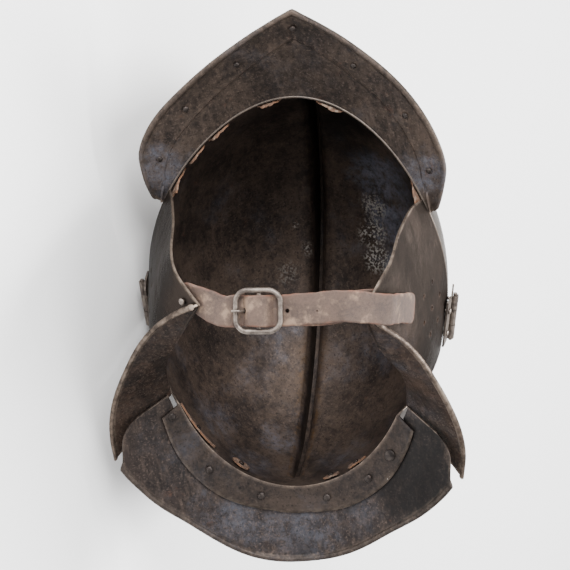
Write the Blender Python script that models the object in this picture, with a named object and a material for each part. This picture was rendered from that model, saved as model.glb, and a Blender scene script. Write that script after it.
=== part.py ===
"""Burgonet: a steel helmet with comb, peak, hinged cheekpieces and neck guard, lying on its side.

Every piece is modelled as the helmet is worn: X to the wearer's left, Y to the rear, Z up, with
the origin inside the bowl at the height of the hinges. One empty then turns the whole helmet over
onto the right side of its bowl. Lengths are in metres.
"""

import math
from dataclasses import dataclass

import bmesh
import bpy
from mathutils import Matrix, Vector

# Bowl: half-axes of its inner face, and how it narrows to the forehead and below the hinges
BOWL_HALF_WIDTH = 0.0962
BOWL_FRONT = 0.1285
BOWL_REAR = 0.1280
BOWL_CROWN = 0.1200
BOWL_BELOW = 0.1320
BOWL_WALL = 0.0018
FRONT_TAPER = 0.14
NAPE_PINCH = 0.55
FOREHEAD_RISE = 0.028
NAPE_DROP = 0.0645

# Lower edge of the bowl: azimuth from the front in degrees, height as a share of the forehead's
# rise where it is positive and of the nape's drop where it is negative
RIM_EDGE = (
    (0.0, 1.00),
    (13.0, 0.96),
    (25.0, 0.84),
    (36.0, 0.62),
    (46.0, 0.36),
    (55.0, 0.15),
    (62.0, 0.03),
    (68.0, 0.00),
    (104.0, 0.00),
    (107.0, -0.07),
    (109.5, -0.30),
    (112.5, -0.62),
    (116.5, -1.00),
    (180.0, -1.00),
)
COLUMN_STEP = 11.0
NAPE_START = 116.5
BOWL_ROWS = (0.0, 0.065, 0.14, 0.25, 0.38, 0.52, 0.66, 0.80, 0.92, 1.0)

# Comb: a hollow ridge over the median line, its angles counted from the front over the crown
COMB_HEIGHT = 0.026
COMB_BASE_HALF = 0.0032
COMB_CREST_HALF = 0.0014
COMB_FILLET = 0.0026
COMB_FRONT_ANGLE = 22.0
COMB_REAR_ANGLE = 200.0
COMB_PROFILE = (
    (0.00, 0.16),
    (0.10, 0.62),
    (0.25, 0.92),
    (0.42, 1.00),
    (0.62, 0.90),
    (0.82, 0.55),
    (1.00, 0.12),
)

# Collar round the neck: slope of its reference face below the bowl's bend, in degrees
COLLAR_SLOPE_NAPE = 31.0
COLLAR_SLOPE_SIDE = 27.0
COLLAR_SIDE_AZIMUTH = 130.0
STRIP_WIDTH = 0.0150
STRIP_SWELL = 0.0065
LAP_GAP = 0.0006

# Neck guard: outline as azimuth and share of its reach beyond the bend
NECK_REACH = 0.0470
NECK_WALL = 0.0013
NECK_INNER = 0.0046
NECK_BEAD_FROM = 128.0
NECK_OUTLINE = (
    (119.5, 0.62),
    (120.5, 0.77),
    (122.5, 0.91),
    (127.0, 1.05),
    (129.5, 1.12),
    (140.0, 1.07),
    (155.0, 0.98),
    (168.0, 0.99),
    (180.0, 1.00),
)
BEAD_RADIUS = 0.0020

# Peak: outline as plan azimuth and share of its reach beyond the forehead, and its fall per length
PEAK_REACH = 0.0674
PEAK_WALL = 0.0015
PEAK_FALL = 0.29
PEAK_LAP = 0.011
PEAK_BORDER = 0.018
PEAK_BORDER_SHARE = 0.74
PEAK_STEP = 0.0008
PEAK_END = 62.0
PEAK_OUTLINE = (
    (-54.5, 0.07),
    (-50.0, 0.24),
    (-44.6, 0.41),
    (-36.0, 0.505),
    (-27.0, 0.545),
    (-20.0, 0.600),
    (-13.1, 0.680),
    (-6.6, 0.81),
    (0.0, 1.00),
    (6.6, 0.84),
    (13.1, 0.725),
    (20.0, 0.645),
    (27.0, 0.575),
    (36.0, 0.480),
    (44.6, 0.345),
    (50.0, 0.18),
    (54.5, 0.04),
)

# Cheekpieces: depth below the hinges, reach to the front and rear, half distance of the chin ends
CHEEK_DEPTH = 0.105
CHEEK_FRONT = 0.076
CHEEK_REAR = 0.047
CHEEK_WALL = 0.0013
CHEEK_RIM_GAP = 0.0022
CHIN_HALF_RIGHT = 0.0450
CHIN_HALF_LEFT = 0.0520
FLANGE_HALF_WIDTH = 0.1125
FLANGE_REAR = 0.0840
FLANGE_REAR_DROP = 0.0795

# Rest on the right side of the bowl: turn about the fore-and-aft axis, then about the level one
LIE_ROLL = -111.4
LIE_PITCH = -8.6

# Ear holes: one in the middle and six round it, as places along and down the cheekpiece's wall
EAR_ALONG = 0.56
EAR_DOWN = 0.40
EAR_RING = 0.0165
EAR_HOLE = 0.0015

# Rivets: heads, shanks and the air that their heads keep from the plates
RIVET_HEAD = 0.0034
RIVET_RISE = 0.0014
RIVET_SHANK = 0.0013
RIVET_SIDES = 6
FIT_GAP = 0.0003
SEAT_GAP = 0.0011
WASHER_HEAD = 0.0052
BORDER_HEAD = 0.0028
# Border rivets of the peak: plan azimuth and place as a share of the peak's reach there
BORDER_RIVETS = ((0.0, 0.83), (14.5, 0.76), (30.0, 0.72), (43.5, 0.54))
NECK_RIVETS = (-127.5, -152.0, -171.0, 168.0, 152.0, 140.0)

# Remnants of the leather lining, each under one rivet: name, azimuth, height above the bowl's lower
# edge, length along it, width across it, turn in degrees, how far its lower edge curls inwards
SCRAP_WALL = 0.0012
SCRAP_GAP = 0.0010
SCRAP_OUTLINE = (1.00, 0.92, 0.78, 0.96, 1.00, 0.84, 0.72, 0.94)
FOREHEAD_SCRAPS = (
    ("forehead_1", -55.5, 0.0065, 0.0170, 0.0120, 60.0, 0.0015),
    ("forehead_2", -45.5, 0.0060, 0.0130, 0.0115, 35.0, 0.0020),
    ("forehead_3", -35.5, 0.0060, 0.0150, 0.0120, 20.0, 0.0026),
    ("forehead_4", -14.0, 0.0060, 0.0170, 0.0125, 5.0, 0.0032),
    ("forehead_5", 14.0, 0.0060, 0.0210, 0.0125, -8.0, 0.0032),
    ("forehead_6", 55.5, 0.0065, 0.0180, 0.0120, -60.0, 0.0015),
)
NAPE_SCRAPS = (
    ("nape_1", -131.0, 0.0080, 0.0320, 0.0090, 4.0, 0.0006),
    ("nape_2", -155.5, 0.0120, 0.0130, 0.0110, 25.0, 0.0010),
    ("nape_3", 161.0, 0.0080, 0.0110, 0.0080, -10.0, 0.0006),
    ("nape_4", 149.0, 0.0120, 0.0150, 0.0120, 15.0, 0.0008),
)

# Hinges: a leaf on the bowl and one on the cheekpiece, curled round one pin
HINGE_REAR = 0.0150
HINGE_LENGTH = 0.034
LEAF_HEIGHT = 0.0120
LEAF_WALL = 0.0011
LEAF_GAP = 0.0007
BARREL_RADIUS = 0.0024
PIN_RADIUS = 0.0012
LEAF_SAG = 0.0007
HINGE_RIVET_REACH = 0.0085

# Chin strap: a long end that passes the buckle and a short one that carries it
STRAP_WIDTH = 0.0190
STRAP_WALL = 0.0022
SHORT_WALL = 0.0014
STRAP_LIFT = 0.0084
STRAP_SAMPLES = 50
BUCKLE_CENTRE = Vector((-0.0086, -0.0555, -0.1105))
BUCKLE_ALONG = Vector((0.996, -0.076, -0.035)).normalized()
BUCKLE_OUT = Vector((0.10, -0.52, -0.85))
BUCKLE_HALF_LENGTH = 0.0136
BUCKLE_HALF_WIDTH = 0.0123
BUCKLE_CORNER = 0.0073
BUCKLE_WIRE = 0.0016
FRAME_GAP = 0.0009
BUCKLE_LEVEL = STRAP_WALL / 2 + FRAME_GAP + BUCKLE_WIRE
BAR_RADIUS = 0.0012
BAR_DROP = 0.0022
PRONG_RADIUS = 0.0008
PRONG_DIP = 0.0008
PRONG_CLEARANCE = 0.0010
PUNCH_RADIUS = 0.0013
PUNCH_PLACE = 0.0172
SHORT_WIDTH_SHARE = 0.94
SLOT_CLEARANCE = 0.0012
# Route of the long strap: places inside the right cheekpiece as shares along and down it, places in the
# buckle's own axes in metres, and places on the left cheekpiece with shares of the lift and of the
# turn towards the buckle's outer side
STRAP_START = ((0.115, 0.893), (0.080, 0.914), (0.045, 0.935))
STRAP_BRIDGE = (
    (-0.0230, 0.0000, 0.0),
    (-0.0125, 0.0000, 0.0),
    (0.0000, 0.0000, 0.0),
    (0.0125, 0.0000, 0.0),
    (0.0350, 0.0016, 0.0),
    (0.0520, 0.0028, 0.0008),
)
STRAP_TAIL = (
    (0.060, 0.905, 1.12, 0.50),
    (0.120, 0.855, 0.90, 0.36),
    (0.190, 0.805, 0.60, 0.20),
    (0.265, 0.735, 0.30, 0.08),
    (0.345, 0.665, 0.15, 0.00),
)
# Weave of the long strap through the buckle: place along it and height, as shares of the buckle's
# half length and of the strap's rise over the middle bar
STRAP_RISE = 0.0059
WEAVE = (
    (-0.84, 0.0),
    (-0.64, 0.12),
    (-0.45, 0.62),
    (-0.24, 0.98),
    (0.00, 1.0),
    (0.24, 0.98),
    (0.45, 0.62),
    (0.64, 0.12),
    (0.84, 0.0),
)


def lerp(a, b, t):
    """Value or vector a share t of the way from a to b."""
    return a + (b - a) * t


def interpolate(rows, x):
    """Value at x in a table of (x, value) rows, straight between the rows."""
    if x <= rows[0][0]:
        return rows[0][1]
    for (x0, y0), (x1, y1) in zip(rows, rows[1:]):
        if x <= x1:
            return lerp(y0, y1, (x - x0) / (x1 - x0))
    return rows[-1][1]


def smooth_curve(points, t):
    """Point a share t along a Catmull-Rom curve through the points, spaced by their distances."""
    spans = [(b - a).length for a, b in zip(points, points[1:])]
    left = max(0.0, min(1.0, t)) * sum(spans)
    index = 0
    while index < len(spans) - 1 and left > spans[index]:
        left -= spans[index]
        index += 1
    u = min(1.0, left / spans[index])
    p1, p2 = points[index], points[index + 1]
    p0 = points[index - 1] if index else p1 * 2 - p2
    p3 = points[index + 2] if index + 2 < len(points) else p2 * 2 - p1
    a = (p2 - p0) * 0.5
    b = (p3 - p1) * 0.5
    return (
        p1 * (2 * u**3 - 3 * u**2 + 1)
        + a * (u**3 - 2 * u**2 + u)
        + p2 * (-2 * u**3 + 3 * u**2)
        + b * (u**3 - u**2)
    )


# Bowl's form


def skull_direction(azimuth, height):
    """Unit direction of the point of the bowl's inner face at an azimuth in degrees and a height."""
    up = height / (BOWL_CROWN if height >= 0 else BOWL_BELOW)
    level = math.sqrt(max(0.0, 1 - up * up))
    angle = math.radians(azimuth)
    return Vector((level * math.sin(angle), -level * math.cos(angle), up))


def skull_point(direction):
    """Point of the bowl's inner face in a unit direction."""
    x, y, z = direction
    width = BOWL_HALF_WIDTH
    if y < 0:
        width *= 1 - FRONT_TAPER * y**4
    if z < 0:
        width *= 1 - NAPE_PINCH * (1 - math.sqrt(max(0.0, 1 - z * z)))
    length = BOWL_FRONT if y < 0 else BOWL_REAR
    height = BOWL_CROWN if z >= 0 else BOWL_BELOW
    return Vector((x * width, y * length, z * height))


def skull_normal(direction):
    """Unit normal of the bowl's inner face in a unit direction, pointing out of the bowl."""
    side = direction.cross(Vector((1, 0, 0) if abs(direction.z) > 0.9 else (0, 0, 1))).normalized()
    other = direction.cross(side)
    here = skull_point(direction)
    step = 1e-3
    first = skull_point((direction + side * step).normalized()) - here
    second = skull_point((direction + other * step).normalized()) - here
    normal = first.cross(second).normalized()
    return normal if normal.dot(direction) > 0 else -normal


def skull(direction, lift=0.0):
    """Point of the bowl's inner face, moved out of the bowl by a lift."""
    return skull_point(direction) + skull_normal(direction) * lift


def turn_between(start, end, share):
    """Unit direction a share of the way from one unit direction to another."""
    angle = start.angle(end)
    if angle < 1e-6:
        return start.copy()
    return (start * math.sin((1 - share) * angle) + end * math.sin(share * angle)) / math.sin(angle)


def rim_height(azimuth):
    """Height of the bowl's lower edge at an azimuth."""
    share = interpolate(RIM_EDGE, abs(azimuth))
    return share * (FOREHEAD_RISE if share >= 0 else NAPE_DROP)


def half_columns():
    """Azimuths of the bowl's columns from the forehead's middle round one side to the nape's."""
    azimuths = [RIM_EDGE[0][0]]
    for (start, _), (end, _) in zip(RIM_EDGE, RIM_EDGE[1:]):
        steps = max(1, math.ceil((end - start) / COLUMN_STEP))
        azimuths += [lerp(start, end, k / steps) for k in range(1, steps + 1)]
    return azimuths


def comb_direction(azimuth, half_width=0.0):
    """Direction of the comb's foot that belongs to a column, beside the median line."""
    share = abs(azimuth) / 180
    angle = math.radians(lerp(COMB_FRONT_ANGLE, COMB_REAR_ANGLE, share))
    side = math.copysign(half_width / BOWL_HALF_WIDTH, azimuth)
    return Vector((side, -math.cos(angle), math.sin(angle))).normalized()


def bowl_column(azimuth, on_median):
    """Points of one column of the bowl's inner face, from the lower edge to the comb's crest."""
    start = skull_direction(azimuth, rim_height(azimuth))
    foot_half = 0.0 if on_median else COMB_BASE_HALF + COMB_FILLET
    end = comb_direction(azimuth, foot_half)
    points = [skull(turn_between(start, end, share)) for share in BOWL_ROWS]
    middle = comb_direction(azimuth)
    height = COMB_HEIGHT * interpolate(COMB_PROFILE, abs(azimuth) / 180)
    for share, half in (
        (0.14, COMB_BASE_HALF),
        (0.55, lerp(COMB_BASE_HALF, COMB_CREST_HALF, 0.6)),
        (1.0, COMB_CREST_HALF),
    ):
        point = skull(middle, height * share)
        point.x = 0.0 if on_median else math.copysign(half, azimuth)
        points.append(point)
    return points


# Collar's form


def bend_radius(azimuth):
    """Distance from the helmet's axis to the bowl's bend at the nape, at a plan azimuth."""
    angle = math.radians(azimuth)
    level = skull_direction(90.0, -NAPE_DROP).x
    width = skull_point(skull_direction(90.0, -NAPE_DROP)).x
    length = BOWL_REAR * level
    return 1 / math.hypot(math.sin(angle) / width, math.cos(angle) / length)


def collar_point(azimuth, out, lift):
    """Point of the collar at a plan azimuth, out from the bend along its slope, and lifted."""
    share = (abs(azimuth) - COLLAR_SIDE_AZIMUTH) / (180 - COLLAR_SIDE_AZIMUTH)
    slope = math.radians(lerp(COLLAR_SLOPE_SIDE, COLLAR_SLOPE_NAPE, max(0.0, share)))
    radius = bend_radius(azimuth) + out * math.cos(slope) + lift * math.sin(slope)
    height = -NAPE_DROP - out * math.sin(slope) + lift * math.cos(slope)
    angle = math.radians(azimuth)
    return Vector((radius * math.sin(angle), -radius * math.cos(angle), height))


def collar_normal(azimuth):
    """Unit normal of the collar at a plan azimuth, on its upper side."""
    return (collar_point(azimuth, 0.0, 0.01) - collar_point(azimuth, 0.0, 0.0)).normalized()


def plan_azimuth(point):
    """Azimuth of a point as seen from above, in degrees from the front to the wearer's left."""
    return math.degrees(math.atan2(point.x, -point.y))


def strip_width(azimuth):
    """Width of the bowl's out-turned strip at a plan azimuth."""
    start = abs(plan_azimuth(skull_point(skull_direction(NAPE_START, -NAPE_DROP))))
    share = (abs(azimuth) - start) / (180 - start)
    return STRIP_WIDTH + STRIP_SWELL * math.sin(math.pi * max(0.0, share))


# Meshes


def link(name, bm, material, parent):
    """Object of a finished bmesh under the helmet's empty, its faces turned outwards."""
    bmesh.ops.recalc_face_normals(bm, faces=bm.faces)
    mesh = bpy.data.meshes.new(name)
    bm.to_mesh(mesh)
    bm.free()
    mesh.materials.append(material)
    mesh.shade_smooth()
    mesh.set_sharp_from_angle(angle=math.radians(38))
    piece = bpy.data.objects.new(name, mesh)
    bpy.context.collection.objects.link(piece)
    piece.parent = parent
    return piece


def face_normal(a, b, c, d):
    """Unit normal of a four-cornered face."""
    return (c - a).cross(d - b).normalized()


def offset_grid(grid, wall):
    """The grid's points moved by the wall along its normals, mitred where it bends."""
    rows, columns = len(grid), len(grid[0])
    faces = [
        [
            face_normal(grid[i][j], grid[i + 1][j], grid[i + 1][j + 1], grid[i][j + 1])
            for j in range(columns - 1)
        ]
        for i in range(rows - 1)
    ]
    moved = []
    for i in range(rows):
        line = []
        for j in range(columns):
            around = [
                faces[p][q]
                for p in (i - 1, i)
                for q in (j - 1, j)
                if 0 <= p < rows - 1 and 0 <= q < columns - 1
            ]
            normal = sum(around, Vector()).normalized()
            mitre = sum(normal.dot(n) for n in around) / len(around)
            line.append(grid[i][j] + normal * wall / max(0.6, mitre))
        moved.append(line)
    return moved


def bead_arc(inner, outer, outward, radius, segments=6):
    """Points round a plate's rolled edge, from its inner face to its outer face."""
    normal = (outer - inner).normalized()
    half = (outer - inner).length / 2
    radius = max(radius, half * 1.05)
    centre = (inner + outer) / 2 + outward * math.sqrt(radius**2 - half**2)
    start = math.asin(half / radius)
    angles = [lerp(start, 2 * math.pi - start, k / segments) for k in range(1, segments)]
    return [centre - outward * math.cos(a) * radius - normal * math.sin(a) * radius for a in angles]


def plate_bmesh(stations, wall, bead_radii):
    """Closed plate over a grid of stations, each a line of points that ends at a rolled edge."""
    outer = offset_grid(stations, wall)
    bm = bmesh.new()
    rings = []
    for line, above, radius in zip(stations, outer, bead_radii):
        outward = (line[-1] - line[-2]).normalized()
        arc = bead_arc(line[-1], above[-1], outward, radius)
        rings.append([bm.verts.new(p) for p in line + arc + above[::-1]])
    count = len(rings[0])
    for first, second in zip(rings, rings[1:]):
        for k in range(count):
            following = (k + 1) % count
            bm.faces.new((first[k], first[following], second[following], second[k]))
    width = len(stations[0])
    for ring in (rings[0], rings[-1]):
        for j in range(width - 1):
            bm.faces.new((ring[j], ring[j + 1], ring[count - 2 - j], ring[count - 1 - j]))
        bm.faces.new(ring[width - 1 : count - width + 1])
    return bm


def material(name, colour, roughness, metallic):
    """Principled material of one colour."""
    made = bpy.data.materials.new(name)
    made.use_nodes = True
    shader = made.node_tree.nodes["Principled BSDF"]
    shader.inputs["Base Color"].default_value = (*colour, 1.0)
    shader.inputs["Roughness"].default_value = roughness
    shader.inputs["Metallic"].default_value = metallic
    made.diffuse_color = (*colour, 1.0)
    return made


# Plates


def make_bowl(parent, steel):
    """Bowl with its hollow comb and the out-turned strip at the nape."""
    half = half_columns()
    ring = half + [-a for a in reversed(half[1:-1])]
    bm = bmesh.new()
    columns = []
    for azimuth in ring:
        on_median = azimuth in (half[0], half[-1])
        columns.append([bm.verts.new(p) for p in bowl_column(azimuth, on_median)])
    count = len(ring)
    for k in range(count):
        first, second = columns[k], columns[(k + 1) % count]
        for row in range(len(first) - 1):
            bm.faces.new((first[row], second[row], second[row + 1], first[row + 1]))
    last = len(half) - 1
    for k in range(last):
        left = (columns[k][-1], columns[k + 1][-1])
        right = (columns[-k][-1], columns[-k - 1][-1])
        corners = [left[0], left[1]] + ([] if k + 1 == last else [right[1]]) + ([] if k == 0 else [right[0]])
        bm.faces.new(corners)
    add_strip(bm, ring, columns)
    bowl = link("bowl", bm, steel, parent)
    wall = bowl.modifiers.new("wall", "SOLIDIFY")
    wall.thickness = BOWL_WALL
    wall.offset = 1.0
    wall.use_even_offset = True
    return bowl


def add_strip(bm, ring, columns):
    """Strip that turns out from the bowl's lower edge round the nape."""
    before = None
    for azimuth, column in zip(ring, columns):
        if abs(azimuth) < NAPE_START - 0.01:
            before = None
            continue
        plan = plan_azimuth(column[0].co)
        width = strip_width(plan)
        outward = [bm.verts.new(collar_point(plan, width * share, 0.0)) for share in (0.12, 0.55, 1.0)]
        line = [column[0]] + outward
        if before:
            for row in range(len(line) - 1):
                bm.faces.new((before[row + 1], line[row + 1], line[row], before[row]))
        before = line


def mirrored(values):
    """Values for one side repeated with the other sign, in order across the helmet."""
    return [-v for v in reversed(values) if v] + list(values)


def forehead_azimuths():
    """Azimuths of the bowl's columns that the peak follows, with one at the peak's end."""
    inside = [a for a in half_columns() if a < PEAK_END - 3]
    return mirrored(inside + [PEAK_END])


def peak_frame(azimuth):
    """Root of the peak on the forehead at a column's azimuth, its direction outwards and its reach."""
    seat = skull(skull_direction(azimuth, rim_height(azimuth)), BOWL_WALL + LAP_GAP)
    plan = math.radians(plan_azimuth(seat))
    direction = Vector((math.sin(plan), -math.cos(plan), -PEAK_FALL)).normalized()
    return seat, direction, PEAK_REACH * interpolate(PEAK_OUTLINE, math.degrees(plan))


def peak_point(azimuth, share):
    """Point of the peak's lower face, a share of its reach out from the forehead."""
    seat, direction, reach = peak_frame(azimuth)
    sunk = PEAK_STEP if share > 1 - min(PEAK_BORDER_SHARE, PEAK_BORDER / reach) else 0.0
    return seat + direction * reach * share + Vector((0, 0, sunk))


def make_peak(parent, steel):
    """Pointed peak, its back edge lapped on the bowl's forehead, with a sunk border and rolled edge."""
    stations = []
    for azimuth in reversed(forehead_azimuths()):
        low = skull_direction(azimuth, rim_height(azimuth))
        foot = comb_direction(azimuth, 0.0 if azimuth == 0 else COMB_BASE_HALF + COMB_FILLET)
        lap_share = PEAK_LAP / (skull_point(low) - skull_point(foot)).length
        lift = BOWL_WALL + LAP_GAP
        lap = [skull(turn_between(low, foot, lap_share * share), lift) for share in (1.0, 0.5)]
        seat, direction, reach = peak_frame(azimuth)
        border = min(PEAK_BORDER, reach * PEAK_BORDER_SHARE)
        line = lap + [seat]
        for out, sunk in (
            ((reach - border) * 0.5, 0.0),
            (reach - border - PEAK_STEP, 0.0),
            (reach - border, PEAK_STEP),
            (reach, PEAK_STEP),
        ):
            line.append(seat + direction * out + Vector((0, 0, sunk)))
        stations.append(line)
    beads = [BEAD_RADIUS] * len(stations)
    return link("peak", plate_bmesh(stations, PEAK_WALL, beads), steel, parent)


def make_neck_guard(parent, steel):
    """Neck guard riveted over the bowl's strip, with a rolled edge between the cheekpieces."""
    columns = [azimuth for azimuth in half_columns() if azimuth >= NAPE_START]
    plans = [abs(plan_azimuth(skull_point(skull_direction(azimuth, -NAPE_DROP)))) for azimuth in columns]
    front = [row[0] for row in NECK_OUTLINE if row[0] < plans[0] - 1]
    left = front + plans[:-1]
    lift = BOWL_WALL + LAP_GAP
    stations = []
    beads = []
    for azimuth in [-a for a in left] + [180.0] + left[::-1]:
        reach = NECK_REACH * interpolate(NECK_OUTLINE, abs(azimuth))
        outs = [lerp(NECK_INNER, reach, share) for share in (0.0, 0.33, 0.67, 1.0)]
        line = [collar_point(azimuth, out, lift) for out in outs]
        stations.append(line)
        beads.append(BEAD_RADIUS if abs(azimuth) > NECK_BEAD_FROM else 0.0)
    return link("neck_guard", plate_bmesh(stations, NECK_WALL, beads), steel, parent)


# Cheekpieces


def cheek_curves(side):
    """Edge curves of a cheekpiece's wall and its flange, for the wearer's left (1) or right (-1)."""
    chin = CHIN_HALF_LEFT if side > 0 else CHIN_HALF_RIGHT
    top_drop = -CHEEK_RIM_GAP

    def at(x, y, z):
        return Vector((side * x, y, z))

    def top(azimuth):
        point = skull_point(skull_direction(azimuth, top_drop + max(0.0, rim_height(azimuth))))
        point.x *= side
        return point

    top_edge = [top(azimuth) for azimuth in (57.0, 66.0, 78.0, 91.0, 103.5)]
    front = [top_edge[0]] + [
        at(BOWL_HALF_WIDTH * x, CHEEK_FRONT * y, CHEEK_DEPTH * z)
        for x, y, z in ((0.775, -1.00, -0.19), (0.72, -0.99, -0.45), (0.69, -0.94, -0.70), (0.63, -0.87, -0.86))
    ]
    front.append(at(chin, CHEEK_FRONT * -0.71, -CHEEK_DEPTH))
    rear = [top_edge[-1]] + [
        at(BOWL_HALF_WIDTH * x, CHEEK_REAR * y, NAPE_DROP * z)
        for x, y, z in ((0.955, 0.76, -0.27), (0.90, 0.86, -0.58), (0.785, 0.97, -0.937))
    ]
    bend = [front[-1]] + [
        at(BOWL_HALF_WIDTH * x, CHEEK_REAR * y, CHEEK_DEPTH * z)
        for x, y, z in ((0.62, -0.53, -0.91), (0.71, -0.12, -0.825), (0.765, 0.19, -0.745), (0.79, 0.55, -0.655))
    ]
    bend.append(rear[-1])
    edge = [front[-1] + at(0.0035, 0.001, -0.0012)] + [
        at(FLANGE_HALF_WIDTH * x, FLANGE_REAR * y, -lerp(CHEEK_DEPTH, FLANGE_REAR_DROP, z))
        for x, y, z in (
            (0.555, -0.50, 0.14),
            (0.66, -0.36, 0.28),
            (0.755, -0.18, 0.40),
            (0.85, 0.08, 0.56),
            (0.925, 0.335, 0.72),
            (0.975, 0.59, 0.935),
            (0.995, 0.815, 1.09),
            (0.987, 1.025, 1.15),
        )
    ]
    return {"top": top_edge, "front": front, "rear": rear, "bend": bend, "edge": edge}


def cheek_wall(curves, along, down):
    """Point of a cheekpiece's inner face, blended from the four edge curves of its wall."""
    top = smooth_curve(curves["top"], along)
    bend = smooth_curve(curves["bend"], along)
    front = smooth_curve(curves["front"], down)
    rear = smooth_curve(curves["rear"], down)
    corners = lerp(
        lerp(curves["top"][0], curves["top"][-1], along),
        lerp(curves["bend"][0], curves["bend"][-1], along),
        down,
    )
    return lerp(top, bend, down) + lerp(front, rear, along) - corners


def cheek_normal(curves, along, down, side):
    """Unit normal of a cheekpiece's wall, pointing away from the head."""
    step = 0.01
    front, rear = max(0.0, along - step), min(1.0, along + step)
    upper, lower = max(0.0, down - step), min(1.0, down + step)
    ahead = cheek_wall(curves, rear, down) - cheek_wall(curves, front, down)
    below = cheek_wall(curves, along, lower) - cheek_wall(curves, along, upper)
    normal = ahead.cross(below).normalized()
    return normal if normal.x * side > 0 else -normal


CHEEK_STATIONS = (0.0, 0.07, 0.16, 0.26, 0.36, 0.46, 0.56, 0.66, 0.76, 0.86, 0.94, 1.0)
CHEEK_ROWS = (0.0, 0.14, 0.28, 0.42, 0.56, 0.70, 0.84, 1.0)
FLANGE_ROWS = (0.10, 0.55, 1.0)


def make_cheekpiece(side, parent, steel):
    """Cheekpiece: a wall that follows the face and a flange with a rolled edge round the neck."""
    curves = cheek_curves(side)
    stations = []
    for along in CHEEK_STATIONS:
        wall = [cheek_wall(curves, along, down) for down in CHEEK_ROWS]
        edge = smooth_curve(curves["edge"], along)
        line = wall + [lerp(wall[-1], edge, share) for share in FLANGE_ROWS]
        stations.append(line)
    if side > 0:
        stations.reverse()
    beads = [BEAD_RADIUS] * len(stations)
    name = "cheekpiece_left" if side > 0 else "cheekpiece_right"
    return link(name, plate_bmesh(stations, CHEEK_WALL, beads), steel, parent)


# Rivets


@dataclass
class Rivet:
    """Rivet through some plates: where its inner head sits, its axis outwards and its grip."""

    name: str
    seat: Vector
    axis: Vector
    grip: float
    plates: tuple
    head: float = RIVET_HEAD


def frame_at(point, axis, aside=Vector((0.31, 0.17, 0.93))):
    """Matrix with its Z along an axis at a point and its X as near as may be to a direction."""
    z = axis.normalized()
    x = (aside - z * aside.dot(z)).normalized()
    matrix = Matrix((x, z.cross(x), z)).transposed().to_4x4()
    matrix.translation = point
    return matrix


def turned_bmesh(profile, sides, matrix):
    """Closed body turned round local Z from (radius, height) rows that start and end on the axis."""
    bm = bmesh.new()
    rings = []
    for radius, height in profile:
        if radius == 0:
            rings.append([bm.verts.new(matrix @ Vector((0, 0, height)))])
            continue
        angles = [2 * math.pi * k / sides for k in range(sides)]
        points = [Vector((radius * math.cos(a), radius * math.sin(a), height)) for a in angles]
        rings.append([bm.verts.new(matrix @ p) for p in points])
    for low, high in zip(rings, rings[1:]):
        for k in range(sides):
            following = (k + 1) % sides
            corners = [low[k % len(low)], low[following % len(low)]]
            corners += [high[following % len(high)], high[k % len(high)]]
            bm.faces.new(list(dict.fromkeys(corners)))
    return bm


def make_rivet(rivet, parent, steel):
    """Rivet with a domed head on each side of its plates."""
    head, rise, grip = rivet.head, RIVET_RISE, rivet.grip
    profile = [
        (0.0, -rise),
        (head * 0.68, -rise * 0.72),
        (head, 0.0),
        (RIVET_SHANK, 0.0),
        (RIVET_SHANK, grip),
        (head, grip),
        (head * 0.68, grip + rise * 0.72),
        (0.0, grip + rise),
    ]
    body = turned_bmesh(profile, RIVET_SIDES, frame_at(rivet.seat, rivet.axis))
    return link(rivet.name, body, steel, parent)


def cut(piece, name, bm, parent, steel, operation="DIFFERENCE"):
    """Boolean modifier on a piece, from a hidden object made of a bmesh."""
    tool = link(name, bm, steel, parent)
    tool.hide_render = True
    tool.display_type = "WIRE"
    modifier = piece.modifiers.new(name, "BOOLEAN")
    modifier.operation = operation
    modifier.solver = "EXACT"
    modifier.object = tool


def merge_bmeshes(parts):
    """One bmesh that holds the bodies of several."""
    whole = bmesh.new()
    for part in parts:
        mesh = bpy.data.meshes.new("part")
        part.to_mesh(mesh)
        part.free()
        whole.from_mesh(mesh)
        bpy.data.meshes.remove(mesh)
    return whole


def drill(piece, rivets, parent, steel):
    """Holes through a piece for the shanks of the rivets that pass it."""
    through = [rivet for rivet in rivets if piece.name in rivet.plates]
    if not through:
        return
    radius = RIVET_SHANK + FIT_GAP
    bodies = []
    for rivet in through:
        reach = rivet.grip
        profile = [(0.0, -reach), (radius, -reach), (radius, 2 * reach), (0.0, 2 * reach)]
        bodies.append(turned_bmesh(profile, RIVET_SIDES, frame_at(rivet.seat, rivet.axis)))
    cut(piece, piece.name + "_rivet_holes", merge_bmeshes(bodies), parent, steel)


def scrap_direction(azimuth, above):
    """Direction of the point of the bowl that lies a height above its lower edge."""
    return skull_direction(azimuth, rim_height(azimuth) + above)


def lining_rivets():
    """Rivets that hold the lining's remnants, at the forehead through the peak's lap too."""
    inner = SCRAP_GAP + SCRAP_WALL + 2 * FIT_GAP
    rivets = []
    for rows, plates, outer in (
        (FOREHEAD_SCRAPS, ("bowl", "peak"), BOWL_WALL + LAP_GAP + PEAK_WALL + SEAT_GAP),
        (NAPE_SCRAPS, ("bowl",), BOWL_WALL + SEAT_GAP),
    ):
        for name, azimuth, above, *_ in rows:
            direction = scrap_direction(azimuth, above)
            axis = skull_normal(direction)
            seat = skull(direction, -inner)
            rivets.append(Rivet(name + "_rivet", seat, axis, inner + outer, plates, BORDER_HEAD))
    return rivets


def column_azimuth(plan):
    """Azimuth of the bowl's column that meets the forehead's edge at a plan azimuth."""
    angle = math.radians(plan)
    return math.degrees(math.atan2(math.sin(angle) / BOWL_HALF_WIDTH, math.cos(angle) / BOWL_FRONT))


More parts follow.
